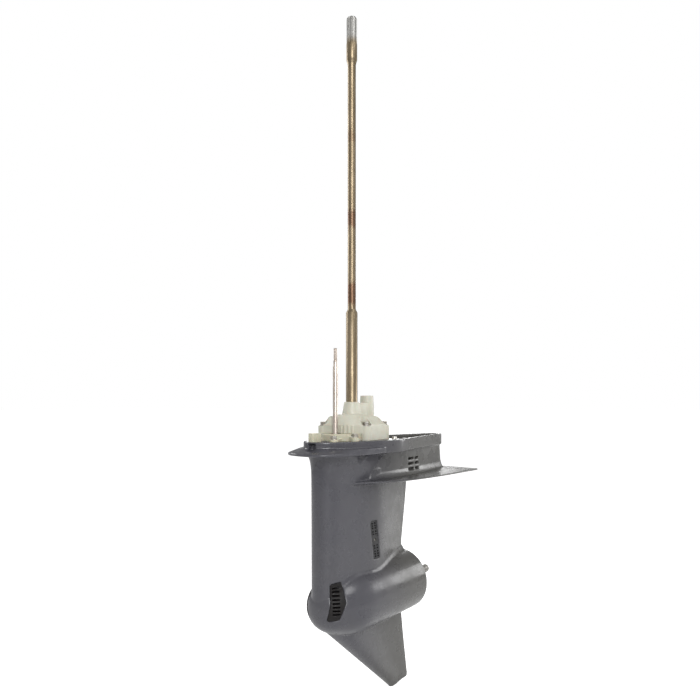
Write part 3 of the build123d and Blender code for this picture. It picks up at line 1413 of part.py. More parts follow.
# The pump housing: bolt columns, a sloping shoulder, the neck and the outlet tower.
with BuildPart() as pump_housing:
    with BuildSketch(Plane.XY.offset(deck_height)):
        add(housing_outline())
    extrude(amount=wall_top - deck_height)
    with BuildSketch():
        add(housing_outline())
        add(deck_outline(0.3), mode=Mode.SUBTRACT)
        with Locations((skirt_x, 0)):
            Rectangle(
                2 * flange_front, 2 * flange_half, align=(Align.MAX, Align.CENTER),
                mode=Mode.SUBTRACT,
            )
    extrude(amount=deck_height)
    with BuildSketch(Plane.XY.offset(wall_top)):
        add(housing_outline())
    with BuildSketch(Plane.XY.offset(shoulder_top - 3)):
        add(scale(housing_outline(), by=0.66, mode=Mode.PRIVATE))
    loft(ruled=True)
    for x, y in pump_bolts_at:
        with Locations((x, y, boss_foot(x))):
            Cylinder(boss_radius, boss_top - boss_foot(x), align=FROM_BOTTOM)
    add(turned([
        (0, wall_top - 8), (wear_radius + 5, wall_top - 8), (wear_radius + 5, wall_top + 1),
        (neck_base_radius + 7, shoulder_top), (neck_base_radius, shoulder_top),
        (neck_top_radius + 0.8, neck_top), (neck_top_radius - 0.6, neck_top), (0, neck_top),
    ]))
    with Locations((outlet_x, 0, deck_height)):
        Cone(outlet_radius + 4, outlet_radius, outlet_top - deck_height, align=FROM_BOTTOM)
    with Locations((outlet_x / 2, 0, deck_height)):
        Box(outlet_x, 2 * outlet_radius - 4, neck_top - 2 - deck_height, align=FROM_BOTTOM)

    # Ribs down the front and the port side of the round body.
    with PolarLocations(wear_radius + 5, rib_count, start_angle=155, angular_range=100):
        with Locations((0, 0, deck_height)):
            Cylinder(1.4, wall_top - 1 - deck_height, align=FROM_BOTTOM)

    # Inside: the seat of the wear plate, the cup, the seal, the shaft and the water's way.
    with BuildSketch(Plane.XY.offset(deck_height)):
        Circle(wear_radius + 0.1)
    extrude(amount=cup_floor - deck_height, mode=Mode.SUBTRACT)
    with BuildSketch(Plane.XY.offset(cup_floor)):
        with Locations((0, cup_offset)):
            Circle(cup_radius + fit)
    extrude(amount=cup_top + cup_wall - cup_floor, mode=Mode.SUBTRACT)
    add(ring(neck_seal_radius, 0, cup_top, cup_top + cup_wall + neck_seal_height), mode=Mode.SUBTRACT)
    add(ring(shaft_radius + 1, 0, cup_top, neck_top), mode=Mode.SUBTRACT)
    with Locations((outlet_x, 0, outlet_floor)):
        Cylinder(tube_bore - 1, outlet_top - outlet_floor, align=FROM_BOTTOM, mode=Mode.SUBTRACT)
    with Locations((outlet_x, 0, outlet_top - tube_seal_height)):
        Cylinder(tube_seal_radius, tube_seal_height, align=FROM_BOTTOM, mode=Mode.SUBTRACT)
    with Locations((outlet_x, 0, cup_top - 6)):
        Box(
            outlet_x - cup_bore + 4, 9, 8,
            align=(Align.MAX, Align.CENTER, Align.CENTER), mode=Mode.SUBTRACT,
        )
    with BuildSketch():
        with Locations(((riser_front + riser_rear) / 2, 0)):
            RectangleRounded(riser_rear - riser_front, 2 * riser_half, 4)
    extrude(amount=deck_height, mode=Mode.SUBTRACT)
    with Locations(*[(x, y, 0) for x, y in pump_bolts_at]):
        Cylinder(screw_radius + 0.4, shoulder_top, align=FROM_BOTTOM, mode=Mode.SUBTRACT)
    with Locations(*[(x, y, boss_top) for x, y in pump_bolts_at]):
        Cylinder(boss_radius - 0.6, shoulder_top - boss_top, align=FROM_BOTTOM, mode=Mode.SUBTRACT)
pump_housing.part.label = "pump_housing"
export_step(pump_housing.part, "parts/pump_housing.step")

with BuildPart() as pump_neck_seal:
    seal_start = cup_top + cup_wall
    add(turned([
        (shaft_radius + running, seal_start + 1), (shaft_radius + 1.5, seal_start),
        (neck_seal_radius - fit, seal_start), (neck_seal_radius - fit, seal_start + neck_seal_height),
        (shaft_radius + 1.5, seal_start + neck_seal_height),
        (shaft_radius + running, seal_start + neck_seal_height - 1),
    ]))
pump_neck_seal.part.label = "pump_neck_seal"
export_step(pump_neck_seal.part, "parts/pump_neck_seal.step")

# Rubber seal in the outlet tower, into which the engine's water tube pushes.
with BuildPart() as water_tube_seal:
    with Locations((outlet_x, 0, outlet_top - tube_seal_height)):
        Cylinder(tube_seal_radius - fit, tube_seal_height, align=FROM_BOTTOM)
        Cylinder(tube_bore, tube_seal_height, align=FROM_BOTTOM, mode=Mode.SUBTRACT)
water_tube_seal.part.label = "water_tube_seal"
export_step(water_tube_seal.part, "parts/water_tube_seal.step")

# Seal round the shift rod where it leaves the deck.
with BuildPart() as rod_seal:
    with Locations((rod_x, 0, 0)):
        Cylinder(rod_seal_radius - fit, deck_height, align=FROM_BOTTOM)
        Cylinder(rod_radius + running, deck_height, align=FROM_BOTTOM, mode=Mode.SUBTRACT)
    chamfer(rod_seal.edges().group_by(Axis.Z)[-1].sort_by(SortBy.LENGTH)[-1:], 0.8)
rod_seal.part.label = "rod_seal"
export_step(rod_seal.part, "parts/rod_seal.step")

# Flanged hexagon bolts that hold the pump, with their washers, and the deck's low bolts.
pump_seats = [boss_top + bolt_washer] * len(pump_bolts_at)
for name, places, seats in (
    ("pump_bolts", pump_bolts_at, pump_seats), ("deck_bolts", deck_bolts_at, deck_seats),
):
    with BuildPart() as bolts:
        for (x, y), seat in zip(places, seats):
            with Locations((x, y, seat)):
                Cylinder(bolt_flange_radius, 1.2, align=FROM_BOTTOM)
                Cylinder(screw_radius - fit, seat + screw_depth - 3, align=FROM_TOP)
            with BuildSketch(Plane.XY.offset(seat + 1.2)):
                with Locations((x, y)):
                    RegularPolygon(bolt_across / 2, 6, major_radius=False)
            extrude(amount=bolt_head)
    bolts.part.label = name
    export_step(bolts.part, f"parts/{name}.step")

with BuildPart() as pump_washers:
    with BuildSketch(Plane.XY.offset(boss_top)):
        with Locations(*pump_bolts_at):
            Circle(bolt_flange_radius + 0.6)
            Circle(screw_radius + 0.3, mode=Mode.SUBTRACT)
    extrude(amount=bolt_washer)
pump_washers.part.label = "pump_washers"
export_step(pump_washers.part, "parts/pump_washers.step")

# A small moulded socket block at the front of the flange, with two slotted sockets.
with BuildPart() as tube_socket:
    with BuildSketch():
        with Locations((socket_x, 0)):
            RectangleRounded(socket_length, socket_width, 2)
    extrude(amount=socket_height)
    with BuildSketch(Plane.XY.offset(socket_height)):
        with Locations((socket_x - socket_length / 4, 0), (socket_x + socket_length / 4 - 0.5, 0)):
            SlotOverall(socket_length * 0.34, 3)
    extrude(amount=-socket_height * 0.7, mode=Mode.SUBTRACT)
    with BuildSketch(Plane.XZ.offset(socket_width / 2)):
        with Locations((socket_x, socket_height * 0.45)):
            Rectangle(2.2, socket_height)
    extrude(amount=-1.2, mode=Mode.SUBTRACT)
tube_socket.part.label = "tube_socket"
export_step(tube_socket.part, "parts/tube_socket.step")
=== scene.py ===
"""Outboard lower unit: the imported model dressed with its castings, mouldings, shafts and paint."""

from __future__ import annotations

import json
import logging
import math
from dataclasses import dataclass
from enum import Enum
from typing import Any, Optional, Sequence

import bmesh
import bpy
import numpy as np
from mathutils import Matrix, Vector

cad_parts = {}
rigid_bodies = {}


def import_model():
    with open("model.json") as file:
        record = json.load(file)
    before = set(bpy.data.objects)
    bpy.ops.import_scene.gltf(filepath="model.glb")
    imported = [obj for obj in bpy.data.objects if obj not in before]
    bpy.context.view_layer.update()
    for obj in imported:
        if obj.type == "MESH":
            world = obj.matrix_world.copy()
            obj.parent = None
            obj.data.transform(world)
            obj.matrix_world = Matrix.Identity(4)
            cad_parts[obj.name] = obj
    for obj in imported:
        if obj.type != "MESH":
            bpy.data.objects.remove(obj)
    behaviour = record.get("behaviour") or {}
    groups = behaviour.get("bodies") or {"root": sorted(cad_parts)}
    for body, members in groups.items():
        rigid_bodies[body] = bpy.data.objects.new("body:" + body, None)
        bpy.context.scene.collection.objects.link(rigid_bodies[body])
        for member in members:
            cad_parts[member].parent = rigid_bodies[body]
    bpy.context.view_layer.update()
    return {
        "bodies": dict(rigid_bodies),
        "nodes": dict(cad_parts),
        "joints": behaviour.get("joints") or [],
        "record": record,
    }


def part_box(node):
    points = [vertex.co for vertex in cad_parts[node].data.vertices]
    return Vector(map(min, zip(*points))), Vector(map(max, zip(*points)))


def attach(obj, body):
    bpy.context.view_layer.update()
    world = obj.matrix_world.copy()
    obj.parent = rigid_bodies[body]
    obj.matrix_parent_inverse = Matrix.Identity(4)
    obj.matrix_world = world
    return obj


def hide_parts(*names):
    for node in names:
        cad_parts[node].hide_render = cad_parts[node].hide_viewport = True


log = logging.getLogger("lower_unit")

MM = 0.001
WELD = 0.001 * MM
FULL_TURN = 2 * math.pi
Point = tuple[float, float, float]
Colour = tuple[float, float, float]
Outline = Sequence[tuple[float, float]]


class Body(Enum):
    """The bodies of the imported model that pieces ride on."""

    CASE = "gearcase_body"
    DRIVE = "drive_line"
    FORWARD = "forward_gear_body"
    REVERSE = "reverse_gear_body"
    PROPELLER = "propeller_shaft_body"
    CLUTCH = "clutch_body"
    SLIDER = "slider_body"
    ROD = "shift_rod_body"


class Slot(Enum):
    """The record's material slots."""

    PAINT = "case_paint"
    PUMP = "pump_plastic"
    BLACK = "black_plastic"
    SHAFT = "shaft_steel"
    BRIGHT = "bright_steel"
    GEAR = "gear_steel"
    CARRIER = "carrier_metal"
    BRONZE = "bronze"
    RUBBER = "rubber"
    GASKET = "gasket_sheet"


class Along(Enum):
    """The axis that a turned piece lies along, by its place in a vector."""

    X = 0
    Z = 2


class Bench:
    """A node tree that is being wired, for a material, a shared group or the world."""

    # The sockets of a mix of colours. A mix of plain numbers takes them at inputs 2 and 3.
    MIX_MASK, MIX_LOW, MIX_HIGH, MIX_RESULT = 0, 6, 7, 2

    def __init__(self, tree: bpy.types.NodeTree) -> None:
        """Empty the tree and keep it.

        Args:
            tree: the node tree.
        """
        self.tree = tree
        tree.nodes.clear()

    def feed(self, socket: bpy.types.NodeSocket, value: Any) -> None:
        """Wire an input to the output given, or set it to the value given."""
        if isinstance(value, bpy.types.NodeSocket):
            self.tree.links.new(value, socket)
        else:
            socket.default_value = value

    def add(
        self, kind: str, inputs: Optional[dict[Any, Any]] = None, **settings: Any
    ) -> bpy.types.Node:
        """Add a node, set its properties, and feed its inputs.

        Args:
            kind: the node's type name.
            inputs: input name or number to a value, or to the output that feeds it.
            **settings: properties of the node.

        Returns:
            The new node.
        """
        node = self.tree.nodes.new(kind)
        for name, value in settings.items():
            setattr(node, name, value)
        for key, value in (inputs or {}).items():
            self.feed(node.inputs[key], value)
        return node

    def use(self, group: bpy.types.NodeTree, **inputs: Any) -> bpy.types.NodeSocket:
        """Place a shared group.

        Args:
            group: the shared group.
            **inputs: values or sockets for its inputs, by name.

        Returns:
            The socket of its only output.
        """
        return self.add("ShaderNodeGroup", inputs, node_tree=group).outputs[0]

    def mix(self, mask: Any, low: Any, high: Any) -> bpy.types.NodeSocket:
        """Mix two colours by a mask.

        Args:
            mask: a value or socket from 0 to 1.
            low: colour where the mask is 0.
            high: colour where the mask is 1.

        Returns:
            The mixed colour's socket.
        """
        node = self.add("ShaderNodeMix", {self.MIX_MASK: mask}, data_type="RGBA")
        for key, colour in ((self.MIX_LOW, low), (self.MIX_HIGH, high)):
            wired = isinstance(colour, bpy.types.NodeSocket)
            self.feed(node.inputs[key], colour if wired else (*colour, 1.0))
        return node.outputs[self.MIX_RESULT]

    def tint(
        self, base: Any, mask: bpy.types.NodeSocket, amount: float, colour: Colour
    ) -> bpy.types.NodeSocket:
        """Lay a colour over a base where a mask shows.

        Args:
            base: the colour or socket below.
            mask: the mask's socket.
            amount: how much of the colour shows where the mask is 1.
            colour: the colour laid over.

        Returns:
            The tinted colour's socket.
        """
        return self.mix(self.sums("MULTIPLY", mask, amount), base, colour)

    def span(
        self, value: Any, low: Any, high: Any, out_low: float = 0.0, out_high: float = 1.0
    ) -> bpy.types.NodeSocket:
        """Map a value's span to another, smoothly and held at both ends.

        Args:
            value: the socket to map.
            low: where the output starts.
            high: where the output ends.
            out_low: output at low.
            out_high: output at high.

        Returns:
            The mapped value's socket.
        """
        ends = dict(enumerate((value, low, high, out_low, out_high)))
        node = self.add("ShaderNodeMapRange", ends, interpolation_type="SMOOTHSTEP")
        return node.outputs[0]

    def sums(self, operation: str, first: Any, second: Any = 0.0) -> bpy.types.NodeSocket:
        """Join two values by a named operation.

        Args:
            operation: the math node's operation.
            first: value or socket.
            second: value or socket.

        Returns:
            The result's socket.
        """
        return self.add("ShaderNodeMath", {0: first, 1: second}, operation=operation).outputs[0]

    def noise(self, place: Any, scale: Any, detail: float, **more: Any) -> bpy.types.NodeSocket:
        """Add fractal noise over a place.

        Args:
            place: the coordinates' socket.
            scale: the noise's scale, a value or socket.
            detail: its number of octaves.
            **more: values of its other inputs, by name.

        Returns:
            The noise value's socket.
        """
        inputs = {"Vector": place, "Scale": scale, "Detail": detail, **more}
        return self.add("ShaderNodeTexNoise", inputs).outputs[0]

    def place(self) -> bpy.types.NodeSocket:
        """Return the piece's own coordinates, in metres."""
        return self.add("ShaderNodeTexCoord").outputs["Object"]

    def axis(self, place: bpy.types.NodeSocket, along: Along) -> bpy.types.NodeSocket:
        """Return one coordinate of a place."""
        return self.add("ShaderNodeSeparateXYZ", {0: place}).outputs[along.value]


class SharedGroup(Bench):
    """The bench of a shader group that several finishes share, with one output."""

    def __init__(self, name: str, output: str, **inputs: Optional[float]) -> None:
        """Make the group with its sockets.

        Args:
            name: the group's name.
            output: its output's name.
            **inputs: each input's name to its usual value, or to None for a place.
        """
        super().__init__(bpy.data.node_groups.new(name, "ShaderNodeTree"))
        sockets = self.tree.interface
        for label, value in inputs.items():
            kind = "NodeSocketVector" if value is None else "NodeSocketFloat"
            socket = sockets.new_socket(label, in_out="INPUT", socket_type=kind)
            if value is not None:
                socket.default_value = value
        sockets.new_socket(output, in_out="OUTPUT", socket_type="NodeSocketFloat")
        self.given = self.add("NodeGroupInput").outputs
        self.end = self.add("NodeGroupOutput")

    def close(self, result: bpy.types.NodeSocket) -> bpy.types.NodeTree:
        """Wire the result to the group's output and return the group."""
        self.feed(self.end.inputs[0], result)
        return self.tree


class Effects:
    """The shared shader groups, each built once."""

    def __init__(self) -> None:
        """Build every group."""
        self.blotches = self._blotches()
        self.edge_rub = self._edge_rub()
        self.grain = self._grain()
        self.tool_marks = self._tool_marks()
        self.scratches = self._scratches()

    def _blotches(self) -> bpy.types.NodeTree:
        """Soft uneven patches, for colour and gloss that vary over a surface."""
        group = SharedGroup("soft_blotches", "Mask", Place=None, Scale=20.0, Low=0.35, High=0.65)
        given = group.given
        noise = group.noise(given["Place"], given["Scale"], 5.0, Roughness=0.6)
        return group.close(group.span(noise, given["Low"], given["High"]))

    def _edge_rub(self) -> bpy.types.NodeTree:
        """Paint or skin rubbed thin on the edges that stand out, broken up by fine noise."""
        group = SharedGroup("edge_rub", "Mask", Place=None, Amount=0.5, Breakup=300.0)
        edge = group.add("ShaderNodeAttribute", attribute_name="edge").outputs["Fac"]
        noise = group.noise(group.given["Place"], group.given["Breakup"], 4.0)
        lift = group.sums("MULTIPLY", edge, group.given["Amount"])
        broken = group.sums("ADD", lift, group.sums("SUBTRACT", noise, 1.0))
        return group.close(group.span(broken, 0.0, 0.35))

    def _grain(self) -> bpy.types.NodeTree:
        """Fine bumps, as of orange peel in paint or a moulded skin."""
        group = SharedGroup("fine_grain", "Height", Place=None, Scale=800.0)
        given = group.given
        return group.close(group.noise(given["Place"], given["Scale"], 3.0, Roughness=0.55))

    def _tool_marks(self) -> bpy.types.NodeTree:
        """Rings that a grinding wheel or lathe leaves round a turned piece."""
        group = SharedGroup("tool_marks", "Height", Along=0.0, Scale=2500.0)
        along, scale = group.given["Along"], group.given["Scale"]
        rings = group.add(
            "ShaderNodeTexNoise",
            {"W": along, "Scale": scale, "Detail": 4.0, "Roughness": 0.7},
            noise_dimensions="1D",
        )
        return group.close(rings.outputs[0])

    def _scratches(self) -> bpy.types.NodeTree:
        """Sparse hairline scratches that run every way."""
        group = SharedGroup("hairlines", "Mask", Place=None, Scale=60.0, Width=0.012)
        place, scale = group.given["Place"], group.given["Scale"]
        bend = group.add("ShaderNodeTexNoise", {"Vector": place, "Scale": scale, "Detail": 1.0})
        shift = group.add(
            "ShaderNodeVectorMath", {0: bend.outputs["Color"], "Scale": 0.012}, operation="SCALE"
        )
        moved = group.add(
            "ShaderNodeVectorMath", {0: place, 1: shift.outputs[0]}, operation="ADD"
        )
        cells = group.add(
            "ShaderNodeTexVoronoi", {"Vector": moved.outputs[0], "Scale": scale},
            feature="DISTANCE_TO_EDGE",
        )
        ends = (cells.outputs["Distance"], 0.0, group.given["Width"], 1.0, 0.0)
        line = group.add("ShaderNodeMapRange", dict(enumerate(ends)))
        patch = group.span(group.noise(place, 35.0, 2.0), 0.52, 0.68)
        return group.close(group.sums("MULTIPLY", line.outputs[0], patch))


def open_material(
    name: str, constants: dict[str, Any]
) -> tuple[bpy.types.Material, Bench, bpy.types.Node]:
    """Make a material with only its shader and output.

    Args:
        name: the material's name.
        constants: values for the shader's sockets, by name.

    Returns:
        The material, its bench and its shader.
    """
    material = bpy.data.materials.new(name)
    material.use_nodes = True
    bench = Bench(material.node_tree)
    shader = bench.add("ShaderNodeBsdfPrincipled", constants)
    bench.add("ShaderNodeOutputMaterial", {0: shader.outputs[0]})
    return material, bench, shader


@dataclass(frozen=True)
class Look:
    """What a finish feeds to its shader."""

    base: bpy.types.NodeSocket
    gloss: bpy.types.NodeSocket
    height: bpy.types.NodeSocket
    bump: float
    depth: float


class Finish:
    """A surface finish: its shader's constants, and the look that is wired to the shader."""

    def constants(self) -> dict[str, float]:
        """Return the values for the shader's sockets, by name."""
        return {"Metallic": 0.0}

    def look(self, bench: Bench, place: bpy.types.NodeSocket, effects: Effects) -> Look:
        """Wire the look.

        Args:
            bench: the material's bench.
            place: the piece's own coordinates.
            effects: the shared groups.

        Returns:
            The look.
        """
        raise NotImplementedError

    def make(self, name: str, effects: Effects) -> bpy.types.Material:
        """Build the material.

        Args:
            name: the material's name.
            effects: the shared groups.

        Returns:
            The material.
        """
        material, bench, shader = open_material(name, self.constants())
        look = self.look(bench, bench.place(), effects)
        bump = bench.add(
            "ShaderNodeBump",
            {"Height": look.height, "Strength": look.bump, "Distance": look.depth},
        )
        bench.feed(shader.inputs["Base Color"], look.base)
        bench.feed(shader.inputs["Roughness"], look.gloss)
        bench.feed(shader.inputs["Normal"], bump.outputs[0])
        return material


@dataclass(frozen=True)
class SprayedPaint(Finish):
    """Dark satin paint on the castings, rubbed on its edges.

    It is darker and bluer ahead of front_end and lighter and warmer behind aft_end, both in metres
    along the unit: this is painted shade ahead and painted light behind, for light that falls on the
    unit from aft.
    """

    # Painted shade and painted light: the darker bluish colour ahead, the lighter warmer colour aft,
    # and where the change starts and ends.
    shaded_front: Colour = (0.060, 0.0595, 0.070)
    aft: Colour = (0.077, 0.075, 0.069)
    front_end: float = -0.04
    aft_end: float = 0.16
    dust: Colour = (0.125, 0.122, 0.118)
    dusty: float = 0.12
    scratched: float = 0.18
    worn: Colour = (0.27, 0.27, 0.275)
    wear: float = 0.4
    smooth: float = 0.24
    dull: float = 0.40

    def constants(self) -> dict[str, float]:
        """Return the values for the shader's sockets, by name."""
        return {"Metallic": 0.0, "Coat Weight": 0.2, "Coat Roughness": 0.14}

    def look(self, bench: Bench, place: bpy.types.NodeSocket, effects: Effects) -> Look:
        """Wire the paint with its painted shade ahead and painted light aft, its dust, hairlines,
        rubbed edges and orange peel.
        """
        # Painted shade ahead and painted light aft: the colour grows lighter and warmer along the
        # unit.
        lit_share = bench.span(bench.axis(place, Along.X), self.front_end, self.aft_end)
        base = bench.mix(lit_share, self.shaded_front, self.aft)
        patches = bench.use(effects.blotches, Place=place, Scale=14.0, Low=0.4, High=0.72)
        base = bench.tint(base, patches, self.dusty, self.dust)
        lines = bench.use(effects.scratches, Place=place, Scale=38.0, Width=0.006)
        base = bench.tint(base, lines, self.scratched, self.dust)
        rub = bench.use(effects.edge_rub, Place=place, Amount=0.95, Breakup=420.0)
        base = bench.tint(base, rub, self.wear, self.worn)
        haze = bench.use(effects.blotches, Place=place, Scale=30.0, Low=0.3, High=0.75)
        gloss = bench.span(haze, 0.0, 1.0, self.smooth, self.dull)
        peel = bench.use(effects.grain, Place=place, Scale=650.0)
        return Look(base, gloss, peel, bump=0.10, depth=0.4 * MM)


@dataclass(frozen=True)
class MouldedPlastic(Finish):
    """Moulded plastic with a fine skin, stains in patches and paler rubbed edges."""

    colour: Colour
    stain: Colour
    rubbed: Colour
    roughness: float = 0.45
    stained: float = 0.35
    wear: float = 0.45
    glow: float = 0.0
    shine: float = 0.5

    def constants(self) -> dict[str, float]:
        """Return the values for the shader's sockets, by name."""
        return {
            "Metallic": 0.0, "Subsurface Weight": self.glow, "Subsurface Scale": 4 * MM,
            "Specular IOR Level": self.shine,
        }

    def look(self, bench: Bench, place: bpy.types.NodeSocket, effects: Effects) -> Look:
        """Wire the plastic with its stains, rubbed edges and skin."""
        patches = bench.use(effects.blotches, Place=place, Scale=45.0, Low=0.42, High=0.7)
        base = bench.tint(self.colour, patches, self.stained, self.stain)
        rub = bench.use(effects.edge_rub, Place=place, Amount=0.9, Breakup=500.0)
        base = bench.tint(base, rub, self.wear, self.rubbed)
        haze = bench.use(effects.blotches, Place=place, Scale=90.0, Low=0.3, High=0.7)
        gloss = bench.span(haze, 0.0, 1.0, self.roughness - 0.07, self.roughness + 0.12)
        skin = bench.use(effects.grain, Place=place, Scale=1400.0)
        return Look(base, gloss, skin, bump=0.16, depth=0.3 * MM)


@dataclass(frozen=True)
class TurnedMetal(Finish):
    """Ground or turned metal with tool marks round an axis."""

    colour: Colour
    tarnish: Colour
    roughness: float = 0.3
    along: Along = Along.Z
    tarnished: float = 0.3

    def constants(self) -> dict[str, float]:
        """Return the values for the shader's sockets, by name."""
        return {"Metallic": 1.0}

    def look(self, bench: Bench, place: bpy.types.NodeSocket, effects: Effects) -> Look:
        """Wire the metal with its tarnish and tool marks."""
        patches = bench.use(effects.blotches, Place=place, Scale=70.0, Low=0.4, High=0.7)
        base = bench.tint(self.colour, patches, self.tarnished, self.tarnish)
        along = bench.axis(place, self.along)
        marks = bench.use(effects.tool_marks, Along=along, Scale=1800.0)
        gloss = bench.span(marks, 0.3, 0.7, self.roughness - 0.06, self.roughness + 0.1)
        return Look(base, gloss, marks, bump=0.12, depth=0.1 * MM)


@dataclass(frozen=True)
class StainedShaft(Finish):
    """The drive shaft: stainless steel with an olive-brown stain, grey at its top.

    Each brown band has its low and high end in metres and its weight.
    """

    steel: Colour = (0.36, 0.355, 0.34)
    olive: Colour = (0.19, 0.148, 0.092)
    brown: Colour = (0.11, 0.052, 0.03)
    pale: Colour = (0.36, 0.29, 0.20)
    paleness: float = 0.55
    bands: tuple[tuple[float, float, float], ...] = (
        (0.395, 0.440, 0.75), (0.250, 0.300, 0.8), (0.560, 0.585, 0.35),
    )
    ragged: float = 0.03
    clean_from: float = 0.748
    clean_above: float = 0.768

    def constants(self) -> dict[str, float]:
        """Return the values for the shader's sockets, by name."""
        return {"Metallic": 0.85}

    def look(self, bench: Bench, place: bpy.types.NodeSocket, effects: Effects) -> Look:
        """Wire the steel with its streaks, ragged brown bands, clean top and tool marks."""
        height = bench.axis(place, Along.Z)
        drawn = bench.add("ShaderNodeMapping", {"Vector": place, "Scale": (1.0, 1.0, 0.12)})
        streaks = bench.use(
            effects.blotches, Place=drawn.outputs[0], Scale=160.0, Low=0.36, High=0.68
        )
        base = bench.tint(self.olive, streaks, self.paleness, self.pale)
        noise = bench.sums("SUBTRACT", bench.noise(place, 90.0, 3.0), 0.5)
        drift = bench.sums("MULTIPLY", noise, self.ragged)
        for low, high, weight in self.bands:
            away = bench.sums("ABSOLUTE", bench.sums("SUBTRACT", height, (low + high) / 2))
            reach = bench.sums("ADD", away, drift)
            width = high - low
            band = bench.span(reach, width * 0.25, width * 0.6, weight, 0.0)
            base = bench.mix(band, base, self.brown)
        base = bench.mix(bench.span(height, self.clean_from, self.clean_above), base, self.steel)
        marks = bench.use(effects.tool_marks, Along=height, Scale=1500.0)
        gloss = bench.span(marks, 0.3, 0.7, 0.3, 0.46)
        return Look(base, gloss, marks, bump=0.15, depth=0.1 * MM)


@dataclass(frozen=True)
class SoftRubber(Finish):
    """Black rubber with a dusty skin."""

    colour: Colour = (0.022, 0.022, 0.023)
    dust: Colour = (0.09, 0.09, 0.085)
    dusty: float = 0.5

    def look(self, bench: Bench, place: bpy.types.NodeSocket, effects: Effects) -> Look:
        """Wire the rubber with its dust and skin."""
        patches = bench.use(effects.blotches, Place=place, Scale=120.0, Low=0.45, High=0.75)
        base = bench.tint(self.colour, patches, self.dusty, self.dust)
        gloss = bench.span(patches, 0.0, 1.0, 0.55, 0.8)
        skin = bench.use(effects.grain, Place=place, Scale=2200.0)
        return Look(base, gloss, skin, bump=0.2, depth=0.2 * MM)


class Paints:
    """Every material of the object, by the kind of piece that it is for."""

    def __init__(self) -> None:
        """Build the shared groups and each finish."""
        effects = Effects()
        self.paint = SprayedPaint().make("case_paint", effects)
        self.pump = MouldedPlastic(
            (0.54, 0.53, 0.445), (0.40, 0.37, 0.28), (0.62, 0.61, 0.53),
            roughness=0.42, stained=0.3, glow=0.08,
        ).make("cream_moulding", effects)
        self.base = MouldedPlastic(
            (0.52, 0.50, 0.38), (0.36, 0.31, 0.20), (0.60, 0.58, 0.48), stained=0.4, glow=0.08,
        ).make("base_moulding", effects)
        self.black = MouldedPlastic(
            (0.010, 0.0085, 0.0085), (0.022, 0.019, 0.018), (0.05, 0.048, 0.046),
            roughness=0.42, stained=0.4, shine=0.25,
        ).make("black_moulding", effects)
        self.grille = MouldedPlastic(
            (0.026, 0.026, 0.028), (0.045, 0.044, 0.043), (0.085, 0.084, 0.083),
            stained=0.4, shine=0.35,
        ).make("grille_moulding", effects)
        self.shaft = StainedShaft().make("stained_shaft", effects)
        self.rod = TurnedMetal(
            (0.66, 0.59, 0.53), (0.46, 0.37, 0.30), roughness=0.34, tarnished=0.5
        ).make("rod_steel", effects)
        self.bolt = TurnedMetal(
            (0.52, 0.50, 0.46), (0.26, 0.21, 0.15), roughness=0.33, tarnished=0.55
        ).make("bolt_steel", effects)
        self.propeller = TurnedMetal(
            (0.50, 0.49, 0.47), (0.33, 0.30, 0.26), roughness=0.28, along=Along.X, tarnished=0.4
        ).make("propeller_steel", effects)
        self.gear = TurnedMetal(
            (0.40, 0.40, 0.41), (0.27, 0.26, 0.25), along=Along.X
        ).make("gear_steel", effects)
        self.cup = TurnedMetal(
            (0.62, 0.61, 0.58), (0.45, 0.42, 0.38), roughness=0.24
        ).make("cup_steel", effects)
        self.bronze = TurnedMetal(
            (0.55, 0.38, 0.19), (0.34, 0.22, 0.12), roughness=0.33, along=Along.X, tarnished=0.35
        ).make("bronze", effects)
        self.rubber = SoftRubber().make("rubber", effects)
        self.gasket = MouldedPlastic(
            (0.13, 0.15, 0.13), (0.08, 0.09, 0.08), (0.2, 0.2, 0.18), roughness=0.7, stained=0.5
        ).make("gasket_sheet", effects)
        self.carrier = SprayedPaint(
            shaded_front=(0.10, 0.10, 0.105), aft=(0.10, 0.10, 0.10)
        ).make("carrier_paint", effects)


def finish_mesh(
    mesh: bpy.types.Mesh, crease: float, flat: float = 0.06, sharp: float = 0.36
) -> None:
    """Shade a mesh smoothly, with hard lines where faces meet sharply, and store its edge mask.

    Args:
        mesh: the mesh.
        crease: the angle in degrees past which an edge stays hard.
        flat: how far a point may stand out from its neighbours before its mask starts.
        sharp: how far it stands out where its mask is full.
    """
    mesh.polygons.foreach_set("use_smooth", [True] * len(mesh.polygons))
    mesh.set_sharp_from_angle(angle=math.radians(crease))
    count = len(mesh.vertices)
    places, normals = np.empty(count * 3), np.empty(count * 3)
    mesh.vertices.foreach_get("co", places)
    mesh.vertices.foreach_get("normal", normals)
    places, normals = places.reshape(-1, 3), normals.reshape(-1, 3)
    ends = np.empty(len(mesh.edges) * 2, dtype=np.int64)
    mesh.edges.foreach_get("vertices", ends)
    ends = ends.reshape(-1, 2)
    total = np.zeros((count, 3))
    lengths = np.zeros(count)
    for here, there in ((0, 1), (1, 0)):
        reach = places[ends[:, there]] - places[ends[:, here]]
        np.add.at(total, ends[:, here], reach)
        np.add.at(lengths, ends[:, here], np.linalg.norm(reach, axis=1))
    bend = -np.einsum("ij,ij->i", total, normals) / np.maximum(lengths, 1e-9)
    edge = np.clip((bend - flat) / (sharp - flat), 0.0, 1.0)
    attribute = mesh.attributes.new("edge", "FLOAT", "POINT")
    attribute.data.foreach_set("value", edge.astype(np.float32))


@dataclass(frozen=True)
class Label:
    """A piece's name, body, slot and material, the nodes it replaces, and its crease angle."""

    name: str
    body: Body
    slot: Slot
    material: bpy.types.Material
    nodes: Sequence[str]
    crease: float = 32.0


